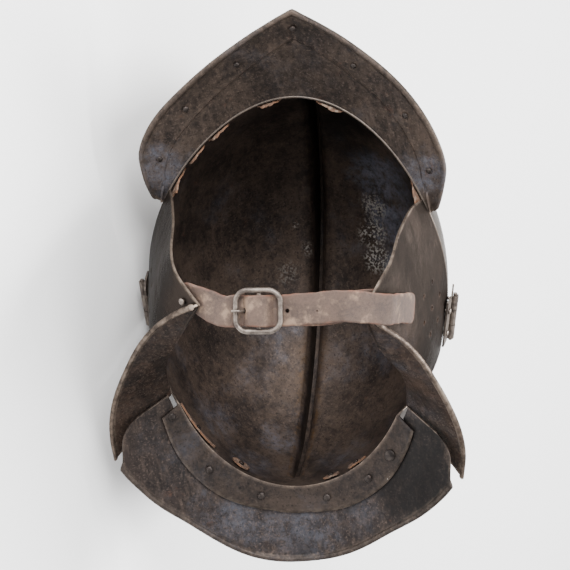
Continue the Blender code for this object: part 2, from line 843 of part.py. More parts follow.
def border_rivets():
    """Small rivets along the peak's border."""
    places = [(-plan, share) for plan, share in reversed(BORDER_RIVETS) if plan] + list(BORDER_RIVETS)
    rivets = []
    for number, (plan, share) in enumerate(places, start=1):
        azimuth = column_azimuth(plan)
        here = peak_point(azimuth, share)
        along = peak_point(azimuth + 2, share) - peak_point(azimuth - 2, share)
        axis = along.cross(peak_frame(azimuth)[1]).normalized()
        axis = axis if axis.z > 0 else -axis
        seat = here - axis * SEAT_GAP
        grip = PEAK_WALL + 2 * SEAT_GAP
        rivets.append(Rivet(f"peak_rivet_{number}", seat, axis, grip, ("peak",), BORDER_HEAD))
    return rivets


def neck_rivets():
    """Rivets that hold the neck guard on the bowl's strip."""
    rivets = []
    for number, azimuth in enumerate(NECK_RIVETS, start=1):
        seat = collar_point(azimuth, strip_width(azimuth) * 0.5, -SEAT_GAP)
        grip = BOWL_WALL + LAP_GAP + NECK_WALL + 2 * SEAT_GAP
        head = WASHER_HEAD if azimuth == NECK_RIVETS[-1] else RIVET_HEAD
        axis = collar_normal(azimuth)
        rivets.append(Rivet(f"neck_rivet_{number}", seat, axis, grip, ("bowl", "neck_guard"), head))
    return rivets


def make_scrap(row, parent, leather):
    """Torn piece of leather lining that lies along the bowl's inner face under its rivet."""
    name, azimuth, above, length, width, turn, curl = row
    middle = scrap_direction(azimuth, above)
    level = Vector((0, 0, 1)).cross(middle).normalized()
    upward = middle.cross(level).normalized()
    hole = RIVET_SHANK + FIT_GAP
    count = len(SCRAP_OUTLINE)
    bm = bmesh.new()
    layers = []
    for depth in (SCRAP_GAP, SCRAP_GAP + SCRAP_WALL):
        rings = []
        for share in (0.0, 0.5, 1.0):
            ring = []
            for k, swell in enumerate(SCRAP_OUTLINE):
                angle = 2 * math.pi * k / count
                far = Vector((math.cos(angle) * length / 2, math.sin(angle) * width / 2)) * swell
                near = Vector((math.cos(angle), math.sin(angle))) * hole
                flat = near.lerp(far, share)
                flat.rotate(Matrix.Rotation(math.radians(turn), 2))
                hang = max(0.0, (-flat.y - BORDER_HEAD - 3 * FIT_GAP) / (width / 2 - BORDER_HEAD)) ** 1.3
                aim = (middle + (level * flat.x + upward * flat.y) / BOWL_HALF_WIDTH).normalized()
                ring.append(bm.verts.new(skull(aim, -depth - curl * hang)))
            rings.append(ring)
        layers.append(rings)
    outer, inner = layers
    for k in range(count):
        following = (k + 1) % count
        for rings in layers:
            for near, far in zip(rings, rings[1:]):
                bm.faces.new((near[k], near[following], far[following], far[k]))
        for index in (0, -1):
            bm.faces.new((outer[index][k], outer[index][following], inner[index][following], inner[index][k]))
    return link(name + "_lining", bm, leather, parent)


# Hinges


def hinge_axis(side):
    """Middle of a hinge's pin, the direction out of the bowl there and the pin's direction."""
    azimuth = side * (90 + math.degrees(math.asin(HINGE_REAR / BOWL_REAR)))
    direction = skull_direction(azimuth, 0.0)
    out = skull_normal(direction)
    middle = skull(direction, BOWL_WALL) + out * (LEAF_GAP + BARREL_RADIUS)
    return middle - Vector((0, 0, CHEEK_RIM_GAP / 2)), out, Vector((0, 0, 1)).cross(out)


def leaf_frame(middle, out, away):
    """Matrix of a hinge leaf: X out of the helmet, Z away from the pin, below the pin's middle."""
    matrix = Matrix((out, away.cross(out), away)).transposed().to_4x4()
    matrix.translation = middle - out * (LEAF_GAP + BARREL_RADIUS)
    return matrix


def prism_bmesh(outline, start, end, matrix):
    """Closed prism over an outline in local X and Z, from one local Y to another."""
    bm = bmesh.new()
    caps = [[bm.verts.new(matrix @ Vector((x, y, z))) for x, z in outline] for y in (start, end)]
    for cap in caps:
        bm.faces.new(cap)
    for k in range(len(outline)):
        following = (k + 1) % len(outline)
        bm.faces.new((caps[0][k], caps[0][following], caps[1][following], caps[1][k]))
    return bm


def curl_outline():
    """Outline of a leaf's end where it curls round the pin."""
    centre = LEAF_GAP + BARREL_RADIUS
    inner = PIN_RADIUS + FIT_GAP
    angles = [math.radians(a) for a in range(180, 481, 30)]
    outer_arc = [(centre + BARREL_RADIUS * math.cos(a), BARREL_RADIUS * math.sin(a)) for a in angles]
    inner_arc = [(centre + inner * math.cos(a), inner * math.sin(a)) for a in reversed(angles)]
    top = LEAF_HEIGHT * 0.45
    return [(centre - BARREL_RADIUS, top)] + outer_arc + inner_arc + [(centre - inner, top)]


def make_leaf(name, frame, segments, parent, steel):
    """Hinge leaf: a plate whose edge curls round the pin in the given segments."""
    low = BARREL_RADIUS + FIT_GAP
    inner = LEAF_GAP - 0.0001
    outer = LEAF_GAP + LEAF_WALL
    plate = [(inner, low), (inner, LEAF_HEIGHT), (outer, LEAF_HEIGHT), (outer, low)]
    half = HINGE_LENGTH / 2
    leaf = link(name, prism_bmesh(plate, -half, half, frame), steel, parent)
    curls = [prism_bmesh(curl_outline(), start * half, end * half, frame) for start, end in segments]
    cut(leaf, name + "_curls", merge_bmeshes(curls), parent, steel, "UNION")
    return leaf


def make_hinge(side, name, curves, parent, steel):
    """Hinge of one cheekpiece, with the rivets of its leaves."""
    middle, out, along = hinge_axis(side)
    place = 0.60
    inside = cheek_wall(curves, place, 0.0)
    down = (cheek_wall(curves, place, 0.12) - inside).normalized()
    down = (down - along * down.dot(along)).normalized()
    tilted = along.cross(down).normalized()
    tilted = tilted if tilted.dot(out) > 0 else -tilted
    upper = leaf_frame(middle, out, Vector((0, 0, 1)))
    lower = leaf_frame(middle, tilted, down)
    gap = 0.35
    leaves = [
        make_leaf(f"hinge_leaf_bowl_{name}", upper, ((-0.97, -gap), (gap, 0.97)), parent, steel),
        make_leaf(f"hinge_leaf_cheek_{name}", lower, ((-gap + 0.03, gap - 0.03),), parent, steel),
    ]
    reach = HINGE_LENGTH / 2 + 0.001
    profile = [(0.0, -reach), (PIN_RADIUS, -reach), (PIN_RADIUS, reach), (0.0, reach)]
    link(f"hinge_pin_{name}", turned_bmesh(profile, 10, frame_at(middle, along)), steel, parent)
    rivets = []
    for number, (frame, plate, back, shift) in enumerate(
        (
            (upper, "bowl", BOWL_WALL, HINGE_RIVET_REACH),
            (upper, "bowl", BOWL_WALL, -HINGE_RIVET_REACH),
            (lower, f"cheekpiece_{name}", BOWL_WALL, HINGE_RIVET_REACH),
            (lower, f"cheekpiece_{name}", BOWL_WALL, -HINGE_RIVET_REACH),
        ),
        start=1,
    ):
        seat = frame @ Vector((-back - SEAT_GAP - LEAF_SAG, shift, LEAF_HEIGHT * 0.64))
        axis = frame.to_3x3() @ Vector((1, 0, 0))
        grip = back + SEAT_GAP + LEAF_SAG + LEAF_GAP + LEAF_WALL + FIT_GAP
        leaf = leaves[0] if frame is upper else leaves[1]
        label = f"hinge_rivet_{name}_{number}"
        rivets.append(Rivet(label, seat, axis, grip, (plate, leaf.name), BORDER_HEAD))
    return leaves, rivets


# Chin strap and buckle


def buckle_frame():
    """Matrix of the buckle: X along the strap to the wearer's left, Z away from the chin."""
    z = (BUCKLE_OUT - BUCKLE_ALONG * BUCKLE_OUT.dot(BUCKLE_ALONG)).normalized()
    matrix = Matrix((BUCKLE_ALONG, z.cross(BUCKLE_ALONG), z)).transposed().to_4x4()
    matrix.translation = BUCKLE_CENTRE
    return matrix


def ribbon_bmesh(centres, normals, width, wall, ends=(1.0, 1.0)):
    """Closed flat strap along its centres, its faces square to the normals."""
    bm = bmesh.new()
    rings = []
    count = len(centres)
    for k, (centre, normal) in enumerate(zip(centres, normals)):
        tangent = (centres[min(k + 1, count - 1)] - centres[max(k - 1, 0)]).normalized()
        out = (normal - tangent * normal.dot(tangent)).normalized()
        across = out.cross(tangent) * width / 2
        across *= ends[0] if k == 0 else ends[1] if k == count - 1 else 1.0
        lift = out * wall / 2
        low = (centre - across - lift, centre + across - lift)
        high = (centre + across + lift, centre - across + lift)
        rings.append([bm.verts.new(corner) for corner in low + high])
    for first, second in zip(rings, rings[1:]):
        for k in range(4):
            following = (k + 1) % 4
            bm.faces.new((first[k], first[following], second[following], second[k]))
    bm.faces.new(rings[0])
    bm.faces.new(rings[-1])
    return bm


def cheek_seat(curves, side, along, down, lift):
    """Point off a cheekpiece's inner face, moved outwards by a lift, and the normal there."""
    normal = cheek_normal(curves, along, down, side)
    return cheek_wall(curves, along, down) + normal * lift, normal


def make_long_strap(curves, parent, leather):
    """Long end: riveted inside the right cheekpiece, through the buckle, over the left one."""
    frame = buckle_frame()
    out = frame.to_3x3() @ Vector((0, 0, 1))
    inside = -FIT_GAP * 6 - STRAP_WALL / 2
    outside = CHEEK_WALL + STRAP_WALL / 2
    route = [cheek_seat(curves[-1], -1, along, down, inside) for along, down in STRAP_START]
    for x, y, z in STRAP_BRIDGE:
        route.append((frame @ Vector((x, y, z)), out))
    for along, down, rise, twist in STRAP_TAIL:
        point, normal = cheek_seat(curves[1], 1, along, down, outside + STRAP_LIFT * rise)
        route.append((point, normal.lerp(out, twist).normalized()))
    centres = []
    normals = []
    for k in range(STRAP_SAMPLES + 1):
        share = k / STRAP_SAMPLES
        centre = smooth_curve([point for point, _ in route], share)
        before, after, between = route_span(route, share)
        normal = before[1].lerp(after[1], between).normalized()
        along = (centre - BUCKLE_CENTRE).dot(BUCKLE_ALONG) / BUCKLE_HALF_LENGTH
        centres.append(centre + out * STRAP_RISE * interpolate(WEAVE, along))
        normals.append(normal)
    body = ribbon_bmesh(centres, normals, STRAP_WIDTH, STRAP_WALL, (0.86, 0.86))
    strap = link("strap_long", body, leather, parent)
    seat, normal = cheek_seat(curves[-1], -1, *STRAP_START[1], inside - STRAP_WALL / 2 - FIT_GAP)
    grip = STRAP_WALL + CHEEK_WALL + FIT_GAP * 7 + SEAT_GAP
    return strap, Rivet("strap_rivet_right", seat, normal, grip, ("strap_long", "cheekpiece_right"))


def route_span(route, share):
    """The two stops of a route on either side of a share of its length, and the share between."""
    spans = [(b[0] - a[0]).length for a, b in zip(route, route[1:])]
    left = share * sum(spans)
    index = 0
    while index < len(spans) - 1 and left > spans[index]:
        left -= spans[index]
        index += 1
    return route[index], route[index + 1], min(1.0, left / spans[index])


def make_short_strap(curves, parent, leather):
    """Short end: riveted inside the left cheekpiece and folded round the buckle's middle bar."""
    frame = buckle_frame()
    turn = frame.to_3x3()
    out = turn @ Vector((0, 0, 1))
    bar_height = BUCKLE_LEVEL - BAR_DROP
    radius = BAR_RADIUS + FIT_GAP + SHORT_WALL / 2
    under = -STRAP_WALL / 2 - 2 * FIT_GAP - SHORT_WALL / 2
    lower = under - SHORT_WALL - FIT_GAP
    path = [(0.0160, under, 1), (0.0090, under, 1), (0.0056, 0.0005, 1)]
    path += [(radius * math.sin(a), bar_height + radius * math.cos(a), 0) for a in (0.5, 0.0)]
    for a in (0.55, 1.1, 1.65, 2.2, 2.75):
        path.append((-radius * math.sin(a), bar_height + radius * math.cos(a), 0))
    path += [(0.0035, bar_height - radius - 0.0006, -1), (0.0095, lower, -1), (0.0200, lower - FIT_GAP, -1)]
    centres = [frame @ Vector((x, 0, z)) for x, z, _ in path]
    centres.append(frame @ Vector((0.0380, 0.0, lower - 4 * FIT_GAP)))
    inside = -FIT_GAP * 4 - SHORT_WALL / 2
    ends = [cheek_seat(curves[1], 1, along, down, inside) for along, down in ((0.05, 0.915), (0.14, 0.885))]
    centres += [point for point, _ in ends]
    normals = []
    for k in range(len(centres)):
        tangent = centres[min(k + 1, len(centres) - 1)] - centres[max(k - 1, 0)]
        across = turn @ Vector((0, 1, 0))
        normals.append(across.cross(tangent).normalized())
    for k, (_, normal) in zip((-2, -1), ends):
        normals[k] = normal
    sign = 1 if normals[-3].dot(normals[-2]) > 0 else -1
    normals = [n * sign for n in normals[:-2]] + normals[-2:]
    width = STRAP_WIDTH * SHORT_WIDTH_SHARE
    strap = link("strap_short", ribbon_bmesh(centres, normals, width, SHORT_WALL), leather, parent)
    half = PRONG_RADIUS + SLOT_CLEARANCE
    reach = radius + SHORT_WALL
    slot = [(-reach, -reach), (-reach, reach), (reach * 1.3, reach), (reach * 1.3, -reach)]
    box = prism_bmesh([(x, z + bar_height) for x, z in slot], -half, half, frame)
    cut(strap, "strap_short_slot", box, parent, leather)
    seat, normal = cheek_seat(curves[1], 1, 0.10, 0.895, inside - SHORT_WALL / 2 - FIT_GAP)
    grip = SHORT_WALL + CHEEK_WALL + FIT_GAP * 5 + SEAT_GAP
    through = ("strap_short", "cheekpiece_left")
    return strap, Rivet("strap_rivet_left", seat, normal, grip, through, BORDER_HEAD)


def tube_bmesh(points, radius, sides, closed=False):
    """Closed round rod along points, or a ring where the points close."""
    bm = bmesh.new()
    rings = []
    count = len(points)
    side = None
    for k, point in enumerate(points):
        ahead = points[(k + 1) % count] if closed else points[min(k + 1, count - 1)]
        behind = points[k - 1] if closed or k else points[0]
        frame = frame_at(point, ahead - behind, side or Vector((0.31, 0.17, 0.93)))
        side = frame.col[0].to_3d()
        angles = [2 * math.pi * (j + 0.5) / sides for j in range(sides)]
        ring = [frame @ Vector((radius * math.cos(a), radius * math.sin(a), 0)) for a in angles]
        rings.append([bm.verts.new(corner) for corner in ring])
    for k in range(count if closed else count - 1):
        first, second = rings[k], rings[(k + 1) % count]
        for j in range(sides):
            following = (j + 1) % sides
            bm.faces.new((first[j], first[following], second[following], second[j]))
    if not closed:
        bm.faces.new(rings[0])
        bm.faces.new(rings[-1])
    return bm


def make_buckle(parent, steel):
    """Buckle frame with its middle bar, and the prong that rests on its far side."""
    frame = buckle_frame()
    level = BUCKLE_LEVEL
    points = []
    for quarter in range(4):
        sx, sy = ((1, 1), (-1, 1), (-1, -1), (1, -1))[quarter]
        cx = sx * (BUCKLE_HALF_LENGTH - BUCKLE_CORNER)
        cy = sy * (BUCKLE_HALF_WIDTH - BUCKLE_CORNER)
        for k in range(5):
            angle = math.radians(90 * quarter + 22.5 * k)
            flat = (cx + BUCKLE_CORNER * math.cos(angle), cy + BUCKLE_CORNER * math.sin(angle))
            points.append(frame @ Vector((*flat, level)))
    ring = link("buckle_frame", tube_bmesh(points, BUCKLE_WIRE, 8, closed=True), steel, parent)
    ends = [frame @ Vector((0, y, level - BAR_DROP)) for y in (-BUCKLE_HALF_WIDTH, BUCKLE_HALF_WIDTH)]
    cut(ring, "buckle_bar", tube_bmesh(ends, BAR_RADIUS, 8), parent, steel, "UNION")
    radius = BAR_RADIUS + FIT_GAP + PRONG_RADIUS
    path = [(radius * math.cos(a), level - BAR_DROP + radius * math.sin(a)) for a in
            [math.radians(d) for d in range(150, -91, -30)]]
    top = level + BUCKLE_WIRE + 2 * FIT_GAP + PRONG_RADIUS
    half = BUCKLE_HALF_LENGTH
    path += [(-0.26 * half, -PRONG_DIP), (-0.42 * half, PRONG_DIP * 0.6), (-0.60 * half, top * 0.38)]
    path += [(-0.80 * half, top * 0.86), (-half, top), (-1.13 * half, top)]
    rod = tube_bmesh([frame @ Vector((x, 0, z)) for x, z in path], PRONG_RADIUS, 6)
    link("buckle_prong", rod, steel, parent)


def punch_strap(strap, parent, leather):
    """Holes of the long strap: the one that the prong passes and the next one."""
    frame = buckle_frame()
    top = BUCKLE_LEVEL + BUCKLE_WIRE + 2 * FIT_GAP + PRONG_RADIUS
    half = BUCKLE_HALF_LENGTH
    crossing = Vector((-0.60 * half, 0, top * 0.38))
    slanted = Vector((-0.80 * half, 0, top * 0.86)) - Vector((-0.42 * half, 0, PRONG_DIP * 0.6))
    bodies = []
    for point, axis, radius in (
        (crossing, slanted, PRONG_RADIUS + PRONG_CLEARANCE),
        (Vector((PUNCH_PLACE, 0, 0)), Vector((0, 0, 1)), PUNCH_RADIUS),
    ):
        matrix = frame_at(frame @ point, frame.to_3x3() @ axis)
        profile = [(0.0, -0.004), (radius, -0.004), (radius, 0.004), (0.0, 0.004)]
        bodies.append(turned_bmesh(profile, 8, matrix))
    cut(strap, "strap_punch", merge_bmeshes(bodies), parent, leather)


def pierce_ear(piece, curves, side, parent, steel):
    """Hearing holes: a ring of six round a middle one."""
    middle = cheek_wall(curves, EAR_ALONG, EAR_DOWN)
    axis = cheek_normal(curves, EAR_ALONG, EAR_DOWN, side)
    frame = frame_at(middle, axis, Vector((0, 0, 1)))
    bodies = []
    for k in range(7):
        angle = math.radians(60 * k)
        reach = EAR_RING if k < 6 else 0.0
        centre = frame @ Vector((reach * math.cos(angle), reach * math.sin(angle), 0))
        profile = [(0.0, -0.006), (EAR_HOLE, -0.006), (EAR_HOLE, 0.006), (0.0, 0.006)]
        bodies.append(turned_bmesh(profile, RIVET_SIDES, frame_at(centre, axis)))
    cut(piece, piece.name + "_ear_holes", merge_bmeshes(bodies), parent, steel)


def lay_down(helmet):
    """Turns the helmet onto its right side and puts its lowest point on the floor, over the origin."""
    helmet.rotation_mode = "YXZ"
    helmet.rotation_euler = (math.radians(LIE_PITCH), math.radians(LIE_ROLL), 0.0)
    bpy.context.view_layer.update()
    shapes = bpy.context.evaluated_depsgraph_get()
    corners = []
    for piece in helmet.children:
        if not piece.hide_render:
            mesh = piece.evaluated_get(shapes).to_mesh()
            corners += [piece.matrix_world @ vertex.co for vertex in mesh.vertices]
            piece.evaluated_get(shapes).to_mesh_clear()
    low = [min(corner[axis] for corner in corners) for axis in range(3)]
    high = [max(corner[axis] for corner in corners) for axis in range(3)]
    helmet.location = (-(low[0] + high[0]) / 2, -(low[1] + high[1]) / 2, -low[2])


def main():
    """Builds the helmet."""
    for piece in list(bpy.data.objects):
        bpy.data.objects.remove(piece)
    steel = material("blackened_steel", (0.055, 0.050, 0.050), 0.45, 0.9)
    iron = material("rivet_iron", (0.10, 0.09, 0.085), 0.50, 0.9)
    leather = material("strap_leather", (0.23, 0.16, 0.11), 0.70, 0.0)
    lining = material("lining_leather", (0.32, 0.19, 0.10), 0.80, 0.0)
    helmet = bpy.data.objects.new("helmet", None)
    bpy.context.collection.objects.link(helmet)

    plates = [make_bowl(helmet, steel), make_peak(helmet, steel), make_neck_guard(helmet, steel)]
    rivets = lining_rivets() + border_rivets() + neck_rivets()
    curves = {side: cheek_curves(side) for side in (1, -1)}
    for side, name in ((1, "left"), (-1, "right")):
        cheekpiece = make_cheekpiece(side, helmet, steel)
        pierce_ear(cheekpiece, curves[side], side, helmet, steel)
        leaves, hinge_rivets = make_hinge(side, name, curves[side], helmet, iron)
        plates += [cheekpiece, *leaves]
        rivets += hinge_rivets
    for row in FOREHEAD_SCRAPS + NAPE_SCRAPS:
        make_scrap(row, helmet, lining)
    for strap, rivet in (make_long_strap(curves, helmet, leather), make_short_strap(curves, helmet, leather)):
        plates.append(strap)
        rivets.append(rivet)
        if strap.name == "strap_long":
            punch_strap(strap, helmet, leather)
    make_buckle(helmet, iron)
    for rivet in rivets:
        make_rivet(rivet, helmet, iron)
    for plate in plates:
        drill(plate, rivets, helmet, steel)
    lay_down(helmet)


main()
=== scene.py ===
"""Dresses the burgonet: its forged plates, rivets, leather lining, chin strap, buckle, light and view.

Pieces are worked out in the helmet's own axes, X to the wearer's left, Y to the rear and Z up, in
metres, and then turned into the resting place of the part.
"""

from __future__ import annotations

import logging
import math
from collections.abc import Callable
from dataclasses import dataclass, field
from enum import Enum

import bmesh
import bpy
import numpy as np
from mathutils import Matrix


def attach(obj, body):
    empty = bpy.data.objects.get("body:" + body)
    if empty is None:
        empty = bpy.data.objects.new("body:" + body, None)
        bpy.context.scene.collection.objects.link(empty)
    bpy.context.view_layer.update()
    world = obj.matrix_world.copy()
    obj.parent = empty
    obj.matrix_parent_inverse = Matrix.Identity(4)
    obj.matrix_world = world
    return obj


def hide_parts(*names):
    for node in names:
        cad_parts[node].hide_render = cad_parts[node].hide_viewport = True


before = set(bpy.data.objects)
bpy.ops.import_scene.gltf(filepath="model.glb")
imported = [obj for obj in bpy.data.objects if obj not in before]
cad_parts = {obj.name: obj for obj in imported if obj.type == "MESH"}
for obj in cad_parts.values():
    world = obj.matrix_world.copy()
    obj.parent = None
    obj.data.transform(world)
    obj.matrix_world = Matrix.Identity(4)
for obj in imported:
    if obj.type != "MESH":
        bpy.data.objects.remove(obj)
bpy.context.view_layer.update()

LOG = logging.getLogger("burgonet")
Rows = tuple[tuple[float, float], ...]
Triple = tuple[float, float, float]
Triples = tuple[Triple, ...]
Faces = list[list[int]]
Material = bpy.types.Material
Piece = bpy.types.Object
Socket = bpy.types.NodeSocket
Value = Socket | float
Colour = Socket | str
MARKS = ("wear", "polish", "tint")
MERGE = 1e-6


class Side(Enum):
    """Side of the wearer, with the sign of its X."""

    LEFT = 1
    RIGHT = -1


# Numbers and curves


def unit(vectors: np.ndarray) -> np.ndarray:
    """Vectors scaled to length one along their last axis."""
    return vectors / np.maximum(np.linalg.norm(vectors, axis=-1, keepdims=True), 1e-12)


def hermite(
    start: np.ndarray, leaving: np.ndarray, end: np.ndarray, arriving: np.ndarray, u: np.ndarray
) -> np.ndarray:
    """Cubic from one value to another, which leaves and arrives with given slopes.

    Args:
        start: value where u is nought.
        leaving: slope there, for the whole span.
        end: value where u is one.
        arriving: slope there, for the whole span.
        u: share of the span.

    Returns:
        The values at u.
    """
    return (
        start * (2 * u**3 - 3 * u**2 + 1)
        + leaving * (u**3 - 2 * u**2 + u)
        + end * (3 * u**2 - 2 * u**3)
        + arriving * (u**3 - u**2)
    )


def table(rows: Rows, x: np.ndarray) -> np.ndarray:
    """Smooth value of a table of (x, value) rows that never overshoots them.

    A cubic Hermite curve runs through the rows. Its slope at a row is the harmonic mean of the slopes
    on either side, or zero where they differ in sign.

    Args:
        rows: the table, in order of x.
        x: where it is read.

    Returns:
        The values, in the shape of x.
    """
    xs, ys = np.array(rows, float).T
    h = np.diff(xs)
    d = np.diff(ys) / h
    m = np.concatenate([d[:1], np.zeros(len(d) - 1), d[-1:]])
    same = d[:-1] * d[1:] > 0
    m[1:-1] = np.where(same, 2 * d[:-1] * d[1:] / np.where(same, d[:-1] + d[1:], 1), 0)
    x = np.clip(x, xs[0], xs[-1])
    i = np.clip(np.searchsorted(xs, x, side="right") - 1, 0, len(d) - 1)
    return hermite(ys[i], h[i] * m[i], ys[i + 1], h[i] * m[i + 1], (x - xs[i]) / h[i])


def stations(stops: np.ndarray) -> np.ndarray:
    """Shares of the summed distances at which the stops of a path lie."""
    spans = np.linalg.norm(np.diff(stops, axis=0), axis=1)
    return np.concatenate([[0], np.cumsum(spans)]) / spans.sum()


def through(points: np.ndarray, share: np.ndarray) -> np.ndarray:
    """Points of a Catmull-Rom curve at shares of its length.

    Each span is a cubic whose slope at a point is half the step between that point's neighbours.

    Args:
        points: (n, 3) points that the curve passes.
        share: (m,) shares of the summed distances between them.

    Returns:
        (m, 3) points of the curve.
    """
    spans = np.linalg.norm(np.diff(points, axis=0), axis=1)
    ends = np.concatenate([[0.0], np.cumsum(spans)])
    at = np.clip(share, 0, 1) * ends[-1]
    i = np.clip(np.searchsorted(ends, at, side="right") - 1, 0, len(spans) - 1)
    u = np.clip((at - ends[i]) / spans[i], 0, 1)[:, None]
    padded = np.vstack([2 * points[0] - points[1], points, 2 * points[-1] - points[-2]])
    p0, p1, p2, p3 = padded[i], padded[i + 1], padded[i + 2], padded[i + 3]
    return hermite(p1, (p2 - p0) / 2, p2, (p3 - p1) / 2, u)


def facings(share: np.ndarray, marks: np.ndarray, directions: np.ndarray) -> np.ndarray:
    """Unit directions at shares of a path, blended between those given at its marks."""
    return unit(np.stack([np.interp(share, marks, directions[:, k]) for k in range(3)], axis=-1))


def great_circle(start: np.ndarray, end: np.ndarray, share: np.ndarray) -> np.ndarray:
    """Unit directions a share of the way from one to another over the sphere.

    The two directions are weighted by the sines of the angles that are left and gone, over the sine
    of the whole angle.

    Args:
        start: (..., 3) unit directions at share nought.
        end: (..., 3) unit directions at share one.
        share: shares that broadcast with them.

    Returns:
        The directions.
    """
    turn = np.arccos(np.clip((start * end).sum(-1, keepdims=True), -1, 1))
    weighted = start * np.sin((1 - share) * turn) + end * np.sin(share * turn)
    return unit(weighted / np.maximum(np.sin(turn), 1e-9))


def spokes(side: np.ndarray, over: np.ndarray, count: int) -> np.ndarray:
    """Unit directions round a circle.

    Args:
        side: (n, 3) first axis of each circle.
        over: (n, 3) second axis of each.
        count: how many directions.

    Returns:
        (n, count, 3) directions: the cosine along the first axis and the sine along the second.
    """
    angle = np.linspace(0, 2 * math.pi, count, endpoint=False)
    return side[:, None] * np.cos(angle)[:, None] + over[:, None] * np.sin(angle)[:, None]


def wobble(points: np.ndarray, size: float, seed: int) -> np.ndarray:
    """Smooth field from -1 to 1 over points in space, for uneven hand work.

    It is the mean of six sine waves in fixed random directions, with a wavelength near the size.

    Args:
        points: (..., 3) points in metres.
        size: typical wavelength in metres.
        seed: picks the directions.

    Returns:
        One value for each point.
    """
    rng = np.random.default_rng(seed)
    waves = unit(rng.normal(size=(6, 3))) * (2 * math.pi / size) * rng.uniform(0.7, 1.4, (6, 1))
    phase = rng.uniform(0, 2 * math.pi, 6)
    return np.sin(points @ waves.T + phase).mean(axis=-1) * 1.6


# Place of the helmet


@dataclass(frozen=True)
class Rest:
    """Place of the helmet as it lies: two turns in degrees and the place of its origin in metres."""

    roll: float = -111.4
    pitch: float = -8.6
    origin: Triple = (0.00839369, 0.01691832, 0.10148805)

    def matrix(self) -> np.ndarray:
        """The (3, 3) turn from helmet axes to world axes."""
        a, b = math.radians(self.pitch), math.radians(self.roll)
        about_x = np.array([[1, 0, 0], [0, math.cos(a), -math.sin(a)], [0, math.sin(a), math.cos(a)]])
        about_y = np.array([[math.cos(b), 0, math.sin(b)], [0, 1, 0], [-math.sin(b), 0, math.cos(b)]])
        return about_x @ about_y

    def place(self, points: np.ndarray) -> np.ndarray:
        """Points in helmet axes, moved to the world."""
        return points @ self.matrix().T + np.array(self.origin)

    def turn(self, vectors: np.ndarray) -> np.ndarray:
        """Directions in helmet axes, turned to the world."""
        return vectors @ self.matrix().T


REST = Rest()


# Forms shared by the plates


@dataclass(frozen=True)
class Skull:
    """Inner face of the bowl: an egg of half-axes that narrows to the forehead and to the nape."""

    half_width: float = 0.0958
    front: float = 0.1281
    rear: float = 0.1276
    crown: float = 0.1196
    below: float = 0.1316
    taper: float = 0.14
    pinch: float = 0.55
    wall: float = 0.0013
    forehead_rise: float = 0.028
    nape_drop: float = 0.0645
    nape_start: float = 116.5
    edge: Rows = (
        (0.0, 1.00),
        (13.0, 0.96),
        (25.0, 0.84),
        (36.0, 0.62),
        (46.0, 0.36),
        (55.0, 0.15),
        (62.0, 0.03),
        (68.0, 0.00),
        (104.0, 0.00),
        (107.0, -0.07),
        (109.5, -0.30),
        (112.5, -0.62),
        (116.5, -1.00),
        (180.0, -1.00),
    )

    def direction(self, azimuth: np.ndarray, height: np.ndarray) -> np.ndarray:
        """Unit directions of the egg's points.

        Args:
            azimuth: degrees from the front, growing to the wearer's left.
            height: metres over the egg's widest level.

        Returns:
            (..., 3) directions, in the shape that both broadcast to.
        """
        azimuth, height = np.broadcast_arrays(np.asarray(azimuth, float), np.asarray(height, float))
        up = height / np.where(height >= 0, self.crown, self.below)
        level = np.sqrt(np.clip(1 - up**2, 0, 1))
        angle = np.radians(azimuth)
        return np.stack([level * np.sin(angle), -level * np.cos(angle), up], axis=-1)

    def point(self, d: np.ndarray) -> np.ndarray:
        """Points of the egg: each part of a unit direction times its half-axis.

        Args:
            d: (..., 3) unit directions.

        Returns:
            The points, the width narrowed to the forehead and towards the nape.
        """
        x, y, z = d[..., 0], d[..., 1], d[..., 2]
        width = self.half_width * np.where(y < 0, 1 - self.taper * y**4, 1.0)
        width = width * np.where(z < 0, 1 - self.pinch * (1 - np.sqrt(np.clip(1 - z**2, 0, 1))), 1.0)
        length = np.where(y < 0, self.front, self.rear)
        height = np.where(z >= 0, self.crown, self.below)
        return np.stack([x * width, y * length, z * height], axis=-1)

    def normal(self, d: np.ndarray) -> np.ndarray:
        """Unit normals out of the egg: the cross product of two small steps over its face.

        Args:
            d: (..., 3) unit directions.

        Returns:
            The normals at their points.
        """
        step = 1e-3
        pole = np.where(np.abs(d[..., 2:3]) > 0.9, [1.0, 0.0, 0.0], [0.0, 0.0, 1.0])
        side = unit(np.cross(d, pole))
        other = np.cross(d, side)
        here = self.point(d)
        first = self.point(unit(d + side * step)) - here
        second = self.point(unit(d + other * step)) - here
        out = unit(np.cross(first, second))
        return out * np.where((out * d).sum(-1, keepdims=True) > 0, 1, -1)

    def lifted(self, d: np.ndarray, lift: np.ndarray | float) -> np.ndarray:
        """Points of the egg moved out along its normals."""
        return self.point(d) + self.normal(d) * np.asarray(lift)[..., None]

    def rim(self, azimuth: np.ndarray) -> np.ndarray:
        """Height of the bowl's lower edge at azimuths in degrees."""
        share = table(self.edge, np.abs(azimuth))
        return share * np.where(share >= 0, self.forehead_rise, self.nape_drop)


